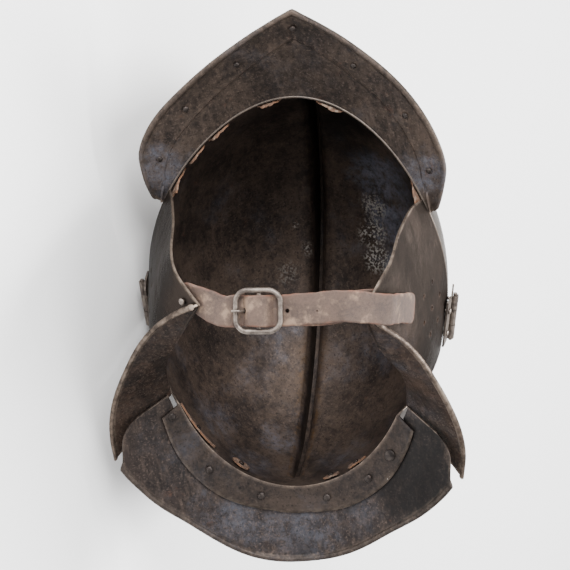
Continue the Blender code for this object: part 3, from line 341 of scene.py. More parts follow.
@dataclass(frozen=True)
class Comb:
    """Ridge over the median line, its ends as angles counted from the front over the crown."""

    height: float = 0.026
    base_half: float = 0.0032
    crest_half: float = 0.0014
    fillet: float = 0.0026
    front_angle: float = 22.0
    rear_angle: float = 200.0
    profile: Rows = (
        (0.00, 0.16),
        (0.10, 0.62),
        (0.25, 0.92),
        (0.42, 1.00),
        (0.62, 0.90),
        (0.82, 0.55),
        (1.00, 0.12),
    )
    levels: tuple[float, ...] = (0.03, 0.07, 0.14, 0.24, 0.36, 0.50, 0.66, 0.82, 0.93, 1.0)

    def foot(self) -> float:
        """Half width where the comb's fillet meets the bowl."""
        return self.base_half + self.fillet

    def half_width(self, level: np.ndarray) -> np.ndarray:
        """Half widths at levels from the foot, nought, to the crest, one."""
        narrowing = ((0.14, self.base_half), (0.55, 0.0022), (0.9, 0.0016), (1.0, self.crest_half))
        return table(((0.0, self.foot()), *narrowing), level)

    def direction(self, share: np.ndarray, half: np.ndarray, skull: Skull) -> np.ndarray:
        """Directions of the comb's foot.

        Args:
            share: shares of its length from the forehead.
            half: distances beside the median line.
            skull: the bowl under it.

        Returns:
            (..., 3) unit directions.
        """
        angle = np.radians(self.front_angle + (self.rear_angle - self.front_angle) * share)
        side = half / skull.half_width
        return unit(np.stack(np.broadcast_arrays(side, -np.cos(angle), np.sin(angle)), axis=-1))


@dataclass(frozen=True)
class Collar:
    """Sloping face round the neck, below the bowl's bend."""

    slope_nape: float = 31.0
    slope_side: float = 27.0
    side_azimuth: float = 130.0
    strip_width: float = 0.0150
    strip_swell: float = 0.0065
    strip_point: float = 0.0022
    lap: float = 0.0006

    def point(self, plan: np.ndarray, out: np.ndarray, lift: float, skull: Skull) -> np.ndarray:
        """Points out from the bend along the slope: an ellipse in plan that widens as it falls.

        Args:
            plan: degrees from the front, seen from above.
            out: distances from the bend along the slope.
            lift: how far the points lie off the face.
            skull: the bowl above it.

        Returns:
            (..., 3) points.
        """
        share = np.clip((np.abs(plan) - self.side_azimuth) / (180 - self.side_azimuth), 0, None)
        slope = np.radians(self.slope_side + (self.slope_nape - self.slope_side) * share)
        low = skull.direction(np.array(90.0), np.array(-skull.nape_drop))
        width, length = skull.point(low)[0], skull.rear * low[0]
        angle = np.radians(plan)
        bend = 1 / np.hypot(np.sin(angle) / width, np.cos(angle) / length)
        radius = bend + out * np.cos(slope) + lift * np.sin(slope)
        height = -skull.nape_drop - out * np.sin(slope) + lift * np.cos(slope)
        return np.stack([radius * np.sin(angle), -radius * np.cos(angle), height], axis=-1)


SKULL = Skull()
COMB = Comb()
COLLAR = Collar()
BEAD = 0.0020


# Meshes


def grid_faces(rows: int, columns: int, around: bool = False, offset: int = 0) -> Faces:
    """Quads of a grid of points.

    Args:
        rows: rows of points.
        columns: points in a row.
        around: whether each row's last point joins its first.
        offset: number of the grid's first point.

    Returns:
        The corners of each quad.
    """
    here = np.arange(rows - 1)[:, None] * columns
    j = np.arange(columns if around else columns - 1)[None, :]
    k = (j + 1) % columns
    corners = np.broadcast_arrays(here + j, here + columns + j, here + columns + k, here + k)
    return (np.stack(corners, axis=-1).reshape(-1, 4) + offset).tolist()


@dataclass
class Form:
    """Points and faces of a piece in helmet axes, with marks at each point.

    The marks are how worn and how polished it is, the wear also painting a highlight along the bowl's nape
    bend, and its tint: ochre above nought and painted shade below.
    """

    points: np.ndarray
    faces: Faces
    wear: np.ndarray | None = None
    polish: np.ndarray | None = None
    tint: np.ndarray | None = None

    def joined(self, other: Form) -> Form:
        """This form and another one as a single form.

        Args:
            other: the form that comes after.

        Returns:
            Both, with marks of nought where a form has none.
        """
        start = len(self.points)
        faces = self.faces + [[v + start for v in face] for face in other.faces]
        both = {}
        for name in MARKS:
            mine, theirs = getattr(self, name), getattr(other, name)
            mine = np.zeros(start) if mine is None else mine
            theirs = np.zeros(len(other.points)) if theirs is None else theirs
            both[name] = np.concatenate([mine, theirs])
        return Form(np.vstack([self.points, other.points]), faces, **both)


def add_object(name: str, data: bpy.types.ID) -> Piece:
    """New object of the scene that shows the data."""
    made = bpy.data.objects.new(name, data)
    bpy.context.scene.collection.objects.link(made)
    return made


def turn_out(mesh: bpy.types.Mesh, mend: Callable[[bmesh.types.BMesh], None] | None = None) -> None:
    """Turns a mesh's faces outwards.

    Args:
        mesh: the mesh.
        mend: what is done to its edit form first, such as a merge of its doubles.
    """
    bm = bmesh.new()
    bm.from_mesh(mesh)
    if mend is not None:
        mend(bm)
    bmesh.ops.recalc_face_normals(bm, faces=bm.faces)
    bm.to_mesh(mesh)
    bm.free()


def merge(bm: bmesh.types.BMesh) -> None:
    """Merges doubles and takes out faces and edges without size."""
    bmesh.ops.remove_doubles(bm, verts=bm.verts, dist=MERGE)
    bmesh.ops.dissolve_degenerate(bm, edges=bm.edges, dist=MERGE)


def merge_flat(bm: bmesh.types.BMesh) -> None:
    """Merges doubles, and triangles that lie in one plane into quads."""
    bmesh.ops.remove_doubles(bm, verts=bm.verts, dist=MERGE)
    bmesh.ops.join_triangles(bm, faces=bm.faces, angle_face_threshold=0.1, angle_shape_threshold=3.14)


def put(name: str, form: Form, finish: Material, nodes: list[str], sharp: float = 40.0) -> Piece:
    """Makes a form a piece of the scene, riding on the part.

    Args:
        name: the piece's name.
        form: its shape in helmet axes.
        finish: its material.
        nodes: the CAD nodes that it stands for.
        sharp: angle in degrees beyond which an edge stays sharp.

    Returns:
        The new object.
    """
    mesh = bpy.data.meshes.new(name)
    mesh.from_pydata(REST.place(form.points).tolist(), [], form.faces)
    for mark in MARKS:
        values = getattr(form, mark)
        if values is not None:
            layer = mesh.attributes.new(mark, "FLOAT", "POINT")
            layer.data.foreach_set("value", np.clip(values, -1, 1).astype(np.float32))
    turn_out(mesh, merge)
    mesh.shade_smooth()
    mesh.set_sharp_from_angle(angle=math.radians(sharp))
    mesh.materials.append(finish)
    piece = add_object(name, mesh)
    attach(piece, "root")
    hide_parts(*nodes)
    LOG.info("%s: %d faces for %s", name, len(mesh.polygons), ", ".join(nodes))
    return piece


def apply_modifiers(piece: Piece) -> None:
    """Writes a piece's modifiers into its mesh.

    Args:
        piece: the piece.
    """
    bpy.context.view_layer.update()
    evaluated = piece.evaluated_get(bpy.context.evaluated_depsgraph_get())
    mesh = bpy.data.meshes.new_from_object(evaluated)
    piece.modifiers.clear()
    piece.data = mesh


def bore(piece: Piece, centres: np.ndarray, axes: np.ndarray, radii: np.ndarray, depth: float) -> None:
    """Cuts round holes through a piece.

    Args:
        piece: what is cut.
        centres: (n, 3) places in helmet axes.
        axes: (n, 3) directions in helmet axes.
        radii: (n,) radii in metres.
        depth: how far each cut reaches either way.
    """
    sides = 20
    side = unit(np.cross(axes, [0.31, 0.17, 0.93]))
    ring = centres[:, None] + spokes(side, np.cross(axes, side), sides) * radii[:, None, None]
    reach = axes[:, None] * depth
    points = np.stack([ring - reach, ring + reach], axis=1).reshape(-1, 3)
    faces: Faces = []
    for start in range(0, len(points), 2 * sides):
        middle, end = start + sides, start + 2 * sides
        faces += grid_faces(2, sides, True, start)
        faces += [list(range(start, middle)), list(range(middle, end))]
    mesh = bpy.data.meshes.new("cutter")
    mesh.from_pydata(REST.place(points).tolist(), [], faces)
    turn_out(mesh)
    cutter = add_object("cutter", mesh)
    modifier = piece.modifiers.new("bore", "BOOLEAN")
    modifier.operation = "DIFFERENCE"
    modifier.solver = "EXACT"
    modifier.object = cutter
    apply_modifiers(piece)
    bpy.data.objects.remove(cutter)


def read(items: bpy.types.bpy_prop_collection, name: str) -> np.ndarray:
    """(n, 3) vectors of a mesh's points or faces."""
    values = np.empty(len(items) * 3, np.float32)
    items.foreach_get(name, values)
    return values.reshape(-1, 3)


def plate(grid: np.ndarray, wall: float, bead: np.ndarray, rubbed: float, arc: int = 10) -> Form:
    """Closed plate from the grid of its inner face, with a rolled edge along its last row.

    The outer face is the inner one moved by the wall along the grid's normals. The rolled edge is the
    part of a circle that joins both faces, centred beyond the edge so that it meets them.

    Args:
        grid: (n, m, 3) points, stations by rows.
        wall: thickness in metres.
        bead: (n,) radius of the rolled edge at each station, zero for none.
        rubbed: how bare the rolled edge is rubbed, from nought to one.
        arc: steps round the rolled edge.

    Returns:
        The plate's form, its edges worn and its outer face polished.
    """
    n, m, _ = grid.shape
    fade, corner_wear = 0.0004, 0.8
    out = unit(np.cross(np.gradient(grid, axis=0), np.gradient(grid, axis=1)))
    upper = grid + out * wall
    low, high = grid[:, -1], upper[:, -1]
    ahead = unit(grid[:, -1] - grid[:, -2])
    across = unit(high - low)
    half = wall / 2
    radius = np.maximum(bead, half * 1.05)[:, None]
    centre = (low + high) / 2 + ahead * np.sqrt(radius**2 - half**2)
    start = np.arcsin(half / radius)
    share = np.arange(1, arc) / arc
    angle = start + (2 * math.pi - 2 * start) * share
    curl = (
        centre[:, None]
        - ahead[:, None] * (np.cos(angle) * radius)[..., None]
        - across[:, None] * (np.sin(angle) * radius)[..., None]
    )
    rings = np.concatenate([grid, curl, upper[:, ::-1]], axis=1)
    count = rings.shape[1]
    faces = grid_faces(n, count, True)
    for first in (0, (n - 1) * count):
        ring = [first + k for k in range(count)]
        faces += [[ring[j], ring[j + 1], ring[count - 2 - j], ring[count - 1 - j]] for j in range(m - 1)]
        faces.append(ring[m - 1 : count - m + 1])
    steps = np.linalg.norm(np.diff(grid, axis=1), axis=2)
    to_edge = np.cumsum(steps[:, ::-1], axis=1)[:, ::-1]
    to_edge = np.concatenate([to_edge, np.zeros((n, 1))], axis=1)
    along = np.linalg.norm(np.diff(grid, axis=0), axis=2)
    from_start = np.concatenate([np.zeros((1, m)), np.cumsum(along, axis=0)])
    near = np.minimum(from_start, from_start[-1] - from_start)
    wear = np.maximum(corner_wear * np.exp(-near / fade), rubbed * np.exp(-to_edge / fade))
    wear = np.concatenate([wear, np.full((n, arc - 1), rubbed), wear[:, ::-1]], axis=1)
    polish = np.concatenate([np.zeros((n, m)), np.full((n, arc - 1), 0.5), np.ones((n, m))], axis=1)
    return Form(rings.reshape(-1, 3), faces, wear.ravel(), polish.ravel())


def tube(path: np.ndarray, side: np.ndarray, over: np.ndarray, radius: float, sides: int) -> Form:
    """Round bar: a circle carried along a path, in the plane of two axes, with flat ends.

    Args:
        path: (n, 3) points of its middle line.
        side: (n, 3) first axis of the circle at each point.
        over: (n, 3) second axis.
        radius: the circle's radius.
        sides: points round the circle.

    Returns:
        The bar's form.
    """
    count = len(path)
    points = (path[:, None] + spokes(side, over, sides) * radius).reshape(-1, 3)
    ends = [list(range(sides)), list(range((count - 1) * sides, count * sides))]
    return Form(points, grid_faces(count, sides, True) + ends)


def rod(path: np.ndarray, radius: float, sides: int, closed: bool = False) -> Form:
    """Round rod: a circle carried along a flat path, square to it.

    Args:
        path: (n, 3) points of its middle line.
        radius: the circle's radius.
        sides: points round the circle.
        closed: whether the path's last point joins its first, for a ring.

    Returns:
        The rod's form.
    """
    if closed:
        tangent = unit(np.roll(path, -1, axis=0) - np.roll(path, 1, axis=0))
    else:
        tangent = unit(np.gradient(path, axis=0))
    flat = unit(np.linalg.svd(path - path.mean(axis=0))[2][2])
    side = unit(np.cross(tangent, flat))
    form = tube(path, side, np.cross(side, tangent), radius, sides)
    if closed:
        last = (len(path) - 1) * sides
        ring = [[last + j, j, (j + 1) % sides, last + (j + 1) % sides] for j in range(sides)]
        form.faces = form.faces[:-2] + ring
    return form


# Finishes


def linear(code: str) -> tuple[float, float, float, float]:
    """Linear colour of an sRGB hex code."""
    parts = [int(code[k : k + 2], 16) / 255 for k in (1, 3, 5)]
    return (*[p / 12.92 if p <= 0.04045 else ((p + 0.055) / 1.055) ** 2.4 for p in parts], 1.0)


def add_node(tree: bpy.types.NodeTree, kind: str, inputs: dict | None = None, **settings) -> bpy.types.Node:
    """Adds a node.

    Args:
        tree: where it goes.
        kind: its type name without the ShaderNode at the front.
        inputs: values, or sockets to link, by input name or number.
        **settings: properties of the node itself.

    Returns:
        The node.
    """
    made = tree.nodes.new("ShaderNode" + kind)
    for key, value in settings.items():
        setattr(made, key, value)
    for key, value in (inputs or {}).items():
        plug(tree, made, key, value)
    return made


def plug(tree: bpy.types.NodeTree, node: bpy.types.Node, key: str | int, value: object) -> None:
    """Links a socket to a node's input, or sets the input to a value.

    Args:
        tree: the node's tree.
        node: the node.
        key: name or number of its input.
        value: the socket or the value.
    """
    if isinstance(value, Socket):
        tree.links.new(value, node.inputs[key])
    else:
        node.inputs[key].default_value = value


@dataclass(frozen=True)
class Spot:
    """A place in helmet axes for a stain or for painted shade, its radius and how strong it is."""

    centre: Triple
    radius: float
    strength: float = 1.0


@dataclass
class Painter:
    """A material in the making, with short ways to lay one pattern over another."""

    name: str
    material: bpy.types.Material = field(init=False)

    def __post_init__(self) -> None:
        """Makes the empty material."""
        self.material = bpy.data.materials.new(self.name)
        self.material.use_nodes = True
        self.tree = self.material.node_tree
        self.shader = self.tree.nodes["Principled BSDF"]
        self.place = add_node(self.tree, "TexCoord").outputs["Object"]

    def stretched(self, scale: Triple, turn: Triple = (0, 0, 0)) -> Socket:
        """Object coordinates scaled apart along their axes."""
        inputs = {"Vector": self.place, "Scale": scale, "Rotation": turn}
        return add_node(self.tree, "Mapping", inputs).outputs["Vector"]

    def noise(
        self,
        millimetres: float,
        detail: float,
        rough: float,
        shift: float = 0.0,
        vector: Socket | None = None,
    ) -> Socket:
        """Cloudy noise.

        Args:
            millimetres: size of its blotches.
            detail: how many finer layers it has.
            rough: how strong they are.
            shift: picks another cloud of the same kind.
            vector: coordinates other than the object's own.

        Returns:
            A value from nought to one.
        """
        where = self.place if vector is None else vector
        inputs = {"Vector": where, "Scale": 1000 / millimetres, "W": shift}
        inputs |= {"Detail": detail, "Roughness": rough}
        return add_node(self.tree, "TexNoise", inputs, noise_dimensions="4D").outputs["Fac"]

    def ramp(self, value: Socket, low: float, high: float, start: float = 0.0, end: float = 1.0) -> Socket:
        """A value that rises smoothly from start to end as its input goes from low to high."""
        inputs = {"Value": value, 1: low, 2: high, 3: start, 4: end}
        return add_node(self.tree, "MapRange", inputs, interpolation_type="SMOOTHSTEP").outputs[0]

    def attribute(self, name: str) -> Socket:
        """A point attribute of the piece."""
        return add_node(self.tree, "Attribute", attribute_name=name).outputs["Fac"]

    def maths(self, operation: str, first: Value, second: Value) -> Socket:
        """Two values joined by an operation, held between nought and one."""
        inputs = {0: first, 1: second}
        return add_node(self.tree, "Math", inputs, operation=operation, use_clamp=True).outputs[0]

    def mix(self, share: Value, first: Colour, second: Colour) -> Socket:
        """One colour laid over another.

        Args:
            share: how much of the second one shows.
            first: the colour under it.
            second: the colour laid over it.

        Returns:
            The mixed colour.
        """
        colours = {6: linear(first) if isinstance(first, str) else first}
        colours[7] = linear(second) if isinstance(second, str) else second
        return add_node(self.tree, "Mix", {0: share, **colours}, data_type="RGBA").outputs[2]

    def blend(self, share: Value, first: Value, second: Value) -> Socket:
        """One value laid over another by a share."""
        return add_node(self.tree, "Mix", {0: share, 2: first, 3: second}, data_type="FLOAT").outputs[0]

    def patch(self, spot: Spot, feather: Socket, ragged: float = 3.4) -> Socket:
        """A stain or a patch of painted shade: the distance from its centre less a noise, turned into a
        strength.

        Args:
            spot: its place, radius and strength.
            feather: the noise that eats into its edge.
            ragged: how deep the noise eats, in radii.

        Returns:
            The spot's strength inside its ragged edge and nought outside it.
        """
        inputs = {0: self.place, 1: tuple(REST.place(np.array(spot.centre)))}
        distance = add_node(self.tree, "VectorMath", inputs, operation="DISTANCE").outputs["Value"]
        inputs = {0: feather, 1: -spot.radius * ragged, 2: distance}
        bitten = add_node(self.tree, "Math", inputs, operation="MULTIPLY_ADD").outputs[0]
        low, high = (spot.radius * (share - ragged / 2) for share in (0.25, 1.15))
        return self.ramp(bitten, low, high, spot.strength, 0.0)

    def finish(
        self, colour: Socket, metallic: Value, roughness: Value, bumps: list[tuple[Socket, float]]
    ) -> Material:
        """Links the shader.

        Args:
            colour: its base colour.
            metallic: nought for leather or paper and near one for bare iron.
            roughness: how dull it is.
            bumps: values and their heights in metres, each laid over the one before.

        Returns:
            The material.
        """
        for key, value in (("Base Color", colour), ("Metallic", metallic), ("Roughness", roughness)):
            plug(self.tree, self.shader, key, value)
        normal = None
        for height, distance in bumps:
            inputs = {"Height": height, "Distance": distance, "Strength": 1.0}
            if normal is not None:
                inputs["Normal"] = normal
            normal = add_node(self.tree, "Bump", inputs).outputs["Normal"]
        if normal is not None:
            self.tree.links.new(normal, self.shader.inputs["Normal"])
        return self.material


@dataclass(frozen=True)
class BlackenedIron:
    """Forged wrought-iron plate, blackened by fire and oil, dull, with brown rust and bare worn edges.

    The eye sees near-black brown with a soft blue-grey bloom where the scale has worn thin, hammer
    marks about 14 mm apart, fine pits and, at the edges, dull bright iron. Named spots and a tint
    below nought paint shade on it in near-black, and along the bowl's nape bend the bare colour is
    also a painted highlight.
    """

    name: str = "blackened_wrought_iron"
    dark: str = "#1f1a18"
    brown: str = "#3a2e27"
    bloom: str = "#4a4c55"
    rust: str = "#4c3021"
    bare: str = "#85776b"
    polished: str = "#403935"
    bloom_amount: float = 0.45
    polish_amount: float = 0.18
    grazing: float = 0.6
    streaked: str = "#54473f"
    grit: str = "#6a5b52"
    pit: str = "#120f0e"
    ochre: str = "#5e4426"
    # Near-black of the painted shade, laid where the tint is below nought and in the named spots
    painted_shade_colour: str = "#070606"
    salted: str = "#969089"
    # Spots of painted shade
    painted_shade: tuple[Spot, ...] = ()
    patches: tuple[Spot, ...] = ()
    salts: tuple[Spot, ...] = ()

    def build(self) -> Material:
        """Lays the patterns over one another and makes the material.

        Returns:
            Near-black iron, its outer face and edges brought out by the polish and wear marks.
        """
        p = Painter(self.name)
        # Scale: brown clouds over near-black, with streaks drawn out along the plate
        cloud = p.noise(34, 9, 0.68)
        fine = p.noise(4.2, 8, 0.7, 3.1)
        base = p.mix(p.ramp(p.blend(0.42, cloud, fine), 0.41, 0.60), self.dark, self.brown)
        streak = p.noise(3.0, 5, 0.6, 1.7, p.stretched((1.0, 0.16, 1.0), (0.3, 0.2, 0.5)))
        base = p.mix(p.ramp(streak, 0.46, 0.72, 0.0, 0.40), base, self.streaked)
        # Bloom: blue-grey haze in clouds and in the named patches, broken up
        feather = p.noise(24, 10, 0.74, 9.0)
        haze = p.ramp(p.noise(42, 7, 0.66, 5.5), 0.50, 0.74, 0.0, self.bloom_amount)
        for spot in self.patches:
            haze = p.maths("MAXIMUM", haze, p.patch(spot, feather))
        haze = p.maths("MULTIPLY", haze, p.ramp(p.noise(8, 9, 0.8, 5.2), 0.38, 0.62, 0.10, 1.0))
        base = p.mix(haze, base, self.bloom)
        # Rust in blotches, pale grit and black pits a millimetre or two across
        rusty = p.ramp(p.noise(11, 10, 0.74, 7.7), 0.58, 0.74, 0.0, 0.62)
        base = p.mix(rusty, base, self.rust)
        base = p.mix(p.ramp(p.noise(1.5, 3, 0.75, 6.1), 0.52, 0.68, 0.0, 0.38), base, self.grit)
        base = p.mix(p.ramp(p.noise(1.8, 3, 0.75, 2.9), 0.55, 0.66, 0.0, 0.65), base, self.pit)
        # Tint: ragged ochre where it is above nought; painted shade in near-black where it is below and in
        # the named spots
        ragged = p.ramp(p.noise(5, 6, 0.75, 3.3), 0.42, 0.66, 0.0, 0.55)
        base = p.mix(p.maths("MULTIPLY", p.attribute("tint"), ragged), base, self.ochre)
        painted_shade_mask = p.maths("MULTIPLY", p.attribute("tint"), -1.0)
        for spot in self.painted_shade:
            painted_shade_mask = p.maths("MAXIMUM", painted_shade_mask, p.patch(spot, feather))
        base = p.mix(painted_shade_mask, base, self.painted_shade_colour)
        # Salts: pale crumbs, a few anywhere and many in the named spots, none outside
        crumbs = p.ramp(p.noise(1.7, 2, 0.55, 4.4), 0.51, 0.57)
        few = p.ramp(p.noise(38, 4, 0.6, 6.6), 0.62, 0.72)
        salt = p.maths("MULTIPLY", few, p.ramp(p.noise(1.3, 2, 0.6, 8.8), 0.68, 0.73))
        for spot in self.salts:
            salt = p.maths("MAXIMUM", salt, p.maths("MULTIPLY", p.patch(spot, feather, 2.2), crumbs))
        salt = p.maths("MULTIPLY", salt, p.maths("SUBTRACT", 1.0, p.attribute("polish")))
        # Outer face rubbed clean in broad strokes, and edges worn bare; where the wear mark runs along the
        # bowl's nape bend, the bare colour is also a painted highlight
        rubbed = p.ramp(p.noise(26, 6, 0.6, 0.4, p.stretched((1.0, 0.45, 1.0))), 0.25, 0.62, 0.55, 1.0)
        polish = p.maths("MULTIPLY", p.maths("MULTIPLY", p.attribute("polish"), self.polish_amount), rubbed)
        base = p.mix(polish, base, self.polished)
        broken = p.ramp(p.noise(6, 6, 0.7, 1.1), 0.38, 0.60, 0.12, 1.0)
        worn = p.maths("MULTIPLY", p.attribute("wear"), broken)
        base = p.mix(worn, base, self.bare)
        base = p.mix(salt, base, self.salted)
        metal = p.blend(p.maths("MAXIMUM", rusty, salt), p.blend(haze, 0.62, 0.35), 0.08)
        metal = p.blend(worn, p.blend(polish, metal, 0.85), 0.92)
        rough = p.blend(p.ramp(cloud, 0.3, 0.7), 0.50, 0.66)
        rough = p.blend(p.maths("MAXIMUM", polish, worn), rough, 0.36)
        rough = p.blend(rusty, rough, 0.82)
        p.shader.inputs["Specular Tint"].default_value = (self.grazing, self.grazing, self.grazing, 1.0)
        # Hammer marks, mottling and grain
        grain = p.noise(0.9, 4, 0.65, 2.2)
        hammer = p.noise(14, 2, 0.4, 0.9)
        return p.finish(base, metal, rough, [(hammer, 0.0009), (fine, 0.00022), (grain, 0.00007)])


@dataclass(frozen=True)
class FittingIron:
    """Small forged iron fittings: dull grey in lighter and darker clouds, with blotches of brown rust."""

    name: str = "worn_grey_iron"
    dark: str = "#4d4541"
    light: str = "#82786f"
    rust: str = "#5b4033"

    def build(self) -> Material:
        """Lays the patterns over one another and makes the material.

        Returns:
            Grey iron with rust in blotches.
        """
        p = Painter(self.name)
        cloud = p.noise(5, 7, 0.65)
        base = p.mix(p.ramp(cloud, 0.34, 0.66), self.dark, self.light)
        rusty = p.ramp(p.noise(3.2, 8, 0.7, 4.0), 0.56, 0.72, 0.0, 0.6)
        base = p.mix(rusty, base, self.rust)
        rough = p.blend(rusty, p.blend(cloud, 0.36, 0.55), 0.8)
        bumps = [(cloud, 0.0003), (p.noise(0.7, 4, 0.7, 2.0), 0.00008)]
        return p.finish(base, p.blend(rusty, 0.85, 0.2), rough, bumps)


@dataclass(frozen=True)
class StrapLeather:
    """Vegetable-tanned strap leather, greyed with handling, its cut edges redder and cracked across."""

    name: str = "worn_strap_leather"
    face: str = "#524036"
    pale: str = "#8a725e"
    dark: str = "#352821"
    edge: str = "#603a28"
    crease: str = "#3a2c24"
    grain_size: float = 0.8

    def build(self) -> Material:
        """Lays the patterns over one another and makes the material.

        Returns:
            Greyed leather, redder where the wear mark is set.
        """
        p = Painter(self.name)
        cloud = p.noise(17, 8, 0.66)
        fine = p.noise(1.5, 6, 0.7, 3.0)
        base = p.mix(p.ramp(p.blend(0.45, cloud, fine), 0.36, 0.62), self.dark, self.face)
        base = p.mix(p.ramp(p.noise(9, 6, 0.62, 6.0), 0.50, 0.70, 0.0, 0.75), base, self.pale)
        broken = p.ramp(p.noise(9, 6, 0.7, 1.0), 0.42, 0.62, 0.12, 1.0)
        base = p.mix(p.maths("MULTIPLY", p.attribute("wear"), broken), base, self.edge)
        inputs = {"Vector": p.place, "Scale": 1000 / self.grain_size}
        cells = add_node(p.tree, "TexVoronoi", inputs, feature="DISTANCE_TO_EDGE").outputs["Distance"]
        base = p.mix(p.maths("MULTIPLY", p.ramp(cells, 0.06, 0.0), 0.35), base, self.crease)
        bumps = [(cloud, 0.0005), (fine, 0.00018), (p.ramp(cells, 0.0, 0.12), 0.00008)]
        return p.finish(base, 0.0, p.blend(cloud, 0.60, 0.85), bumps)


@dataclass(frozen=True)
class LiningLeather:
    """Dry remnants of thin lining leather: tan where torn fresh, brown and dusty on the face."""

    name: str = "dry_lining_leather"
    dark: str = "#33251d"
    face: str = "#5d4536"
    dust: str = "#807062"
    torn: str = "#674731"

    def build(self) -> Material:
        """Lays the patterns over one another and makes the material.

        Returns:
            Brown leather, tan where the wear mark is set.
        """
        p = Painter(self.name)
        cloud = p.noise(5, 7, 0.7)
        base = p.mix(p.ramp(cloud, 0.36, 0.64), self.dark, self.face)
        base = p.mix(p.ramp(p.noise(3, 5, 0.6, 2.0), 0.50, 0.66, 0.0, 0.8), base, self.dust)
        broken = p.ramp(p.noise(6, 4, 0.6, 5.0), 0.42, 0.60, 0.1, 0.9)
        base = p.mix(p.maths("MULTIPLY", p.attribute("wear"), broken), base, self.torn)
        fibres = p.noise(1.0, 6, 0.8, 1.0, p.stretched((1.0, 0.25, 1.0)))
        return p.finish(base, 0.0, 0.85, [(cloud, 0.0006), (fibres, 0.0002)])


# Bowl and comb


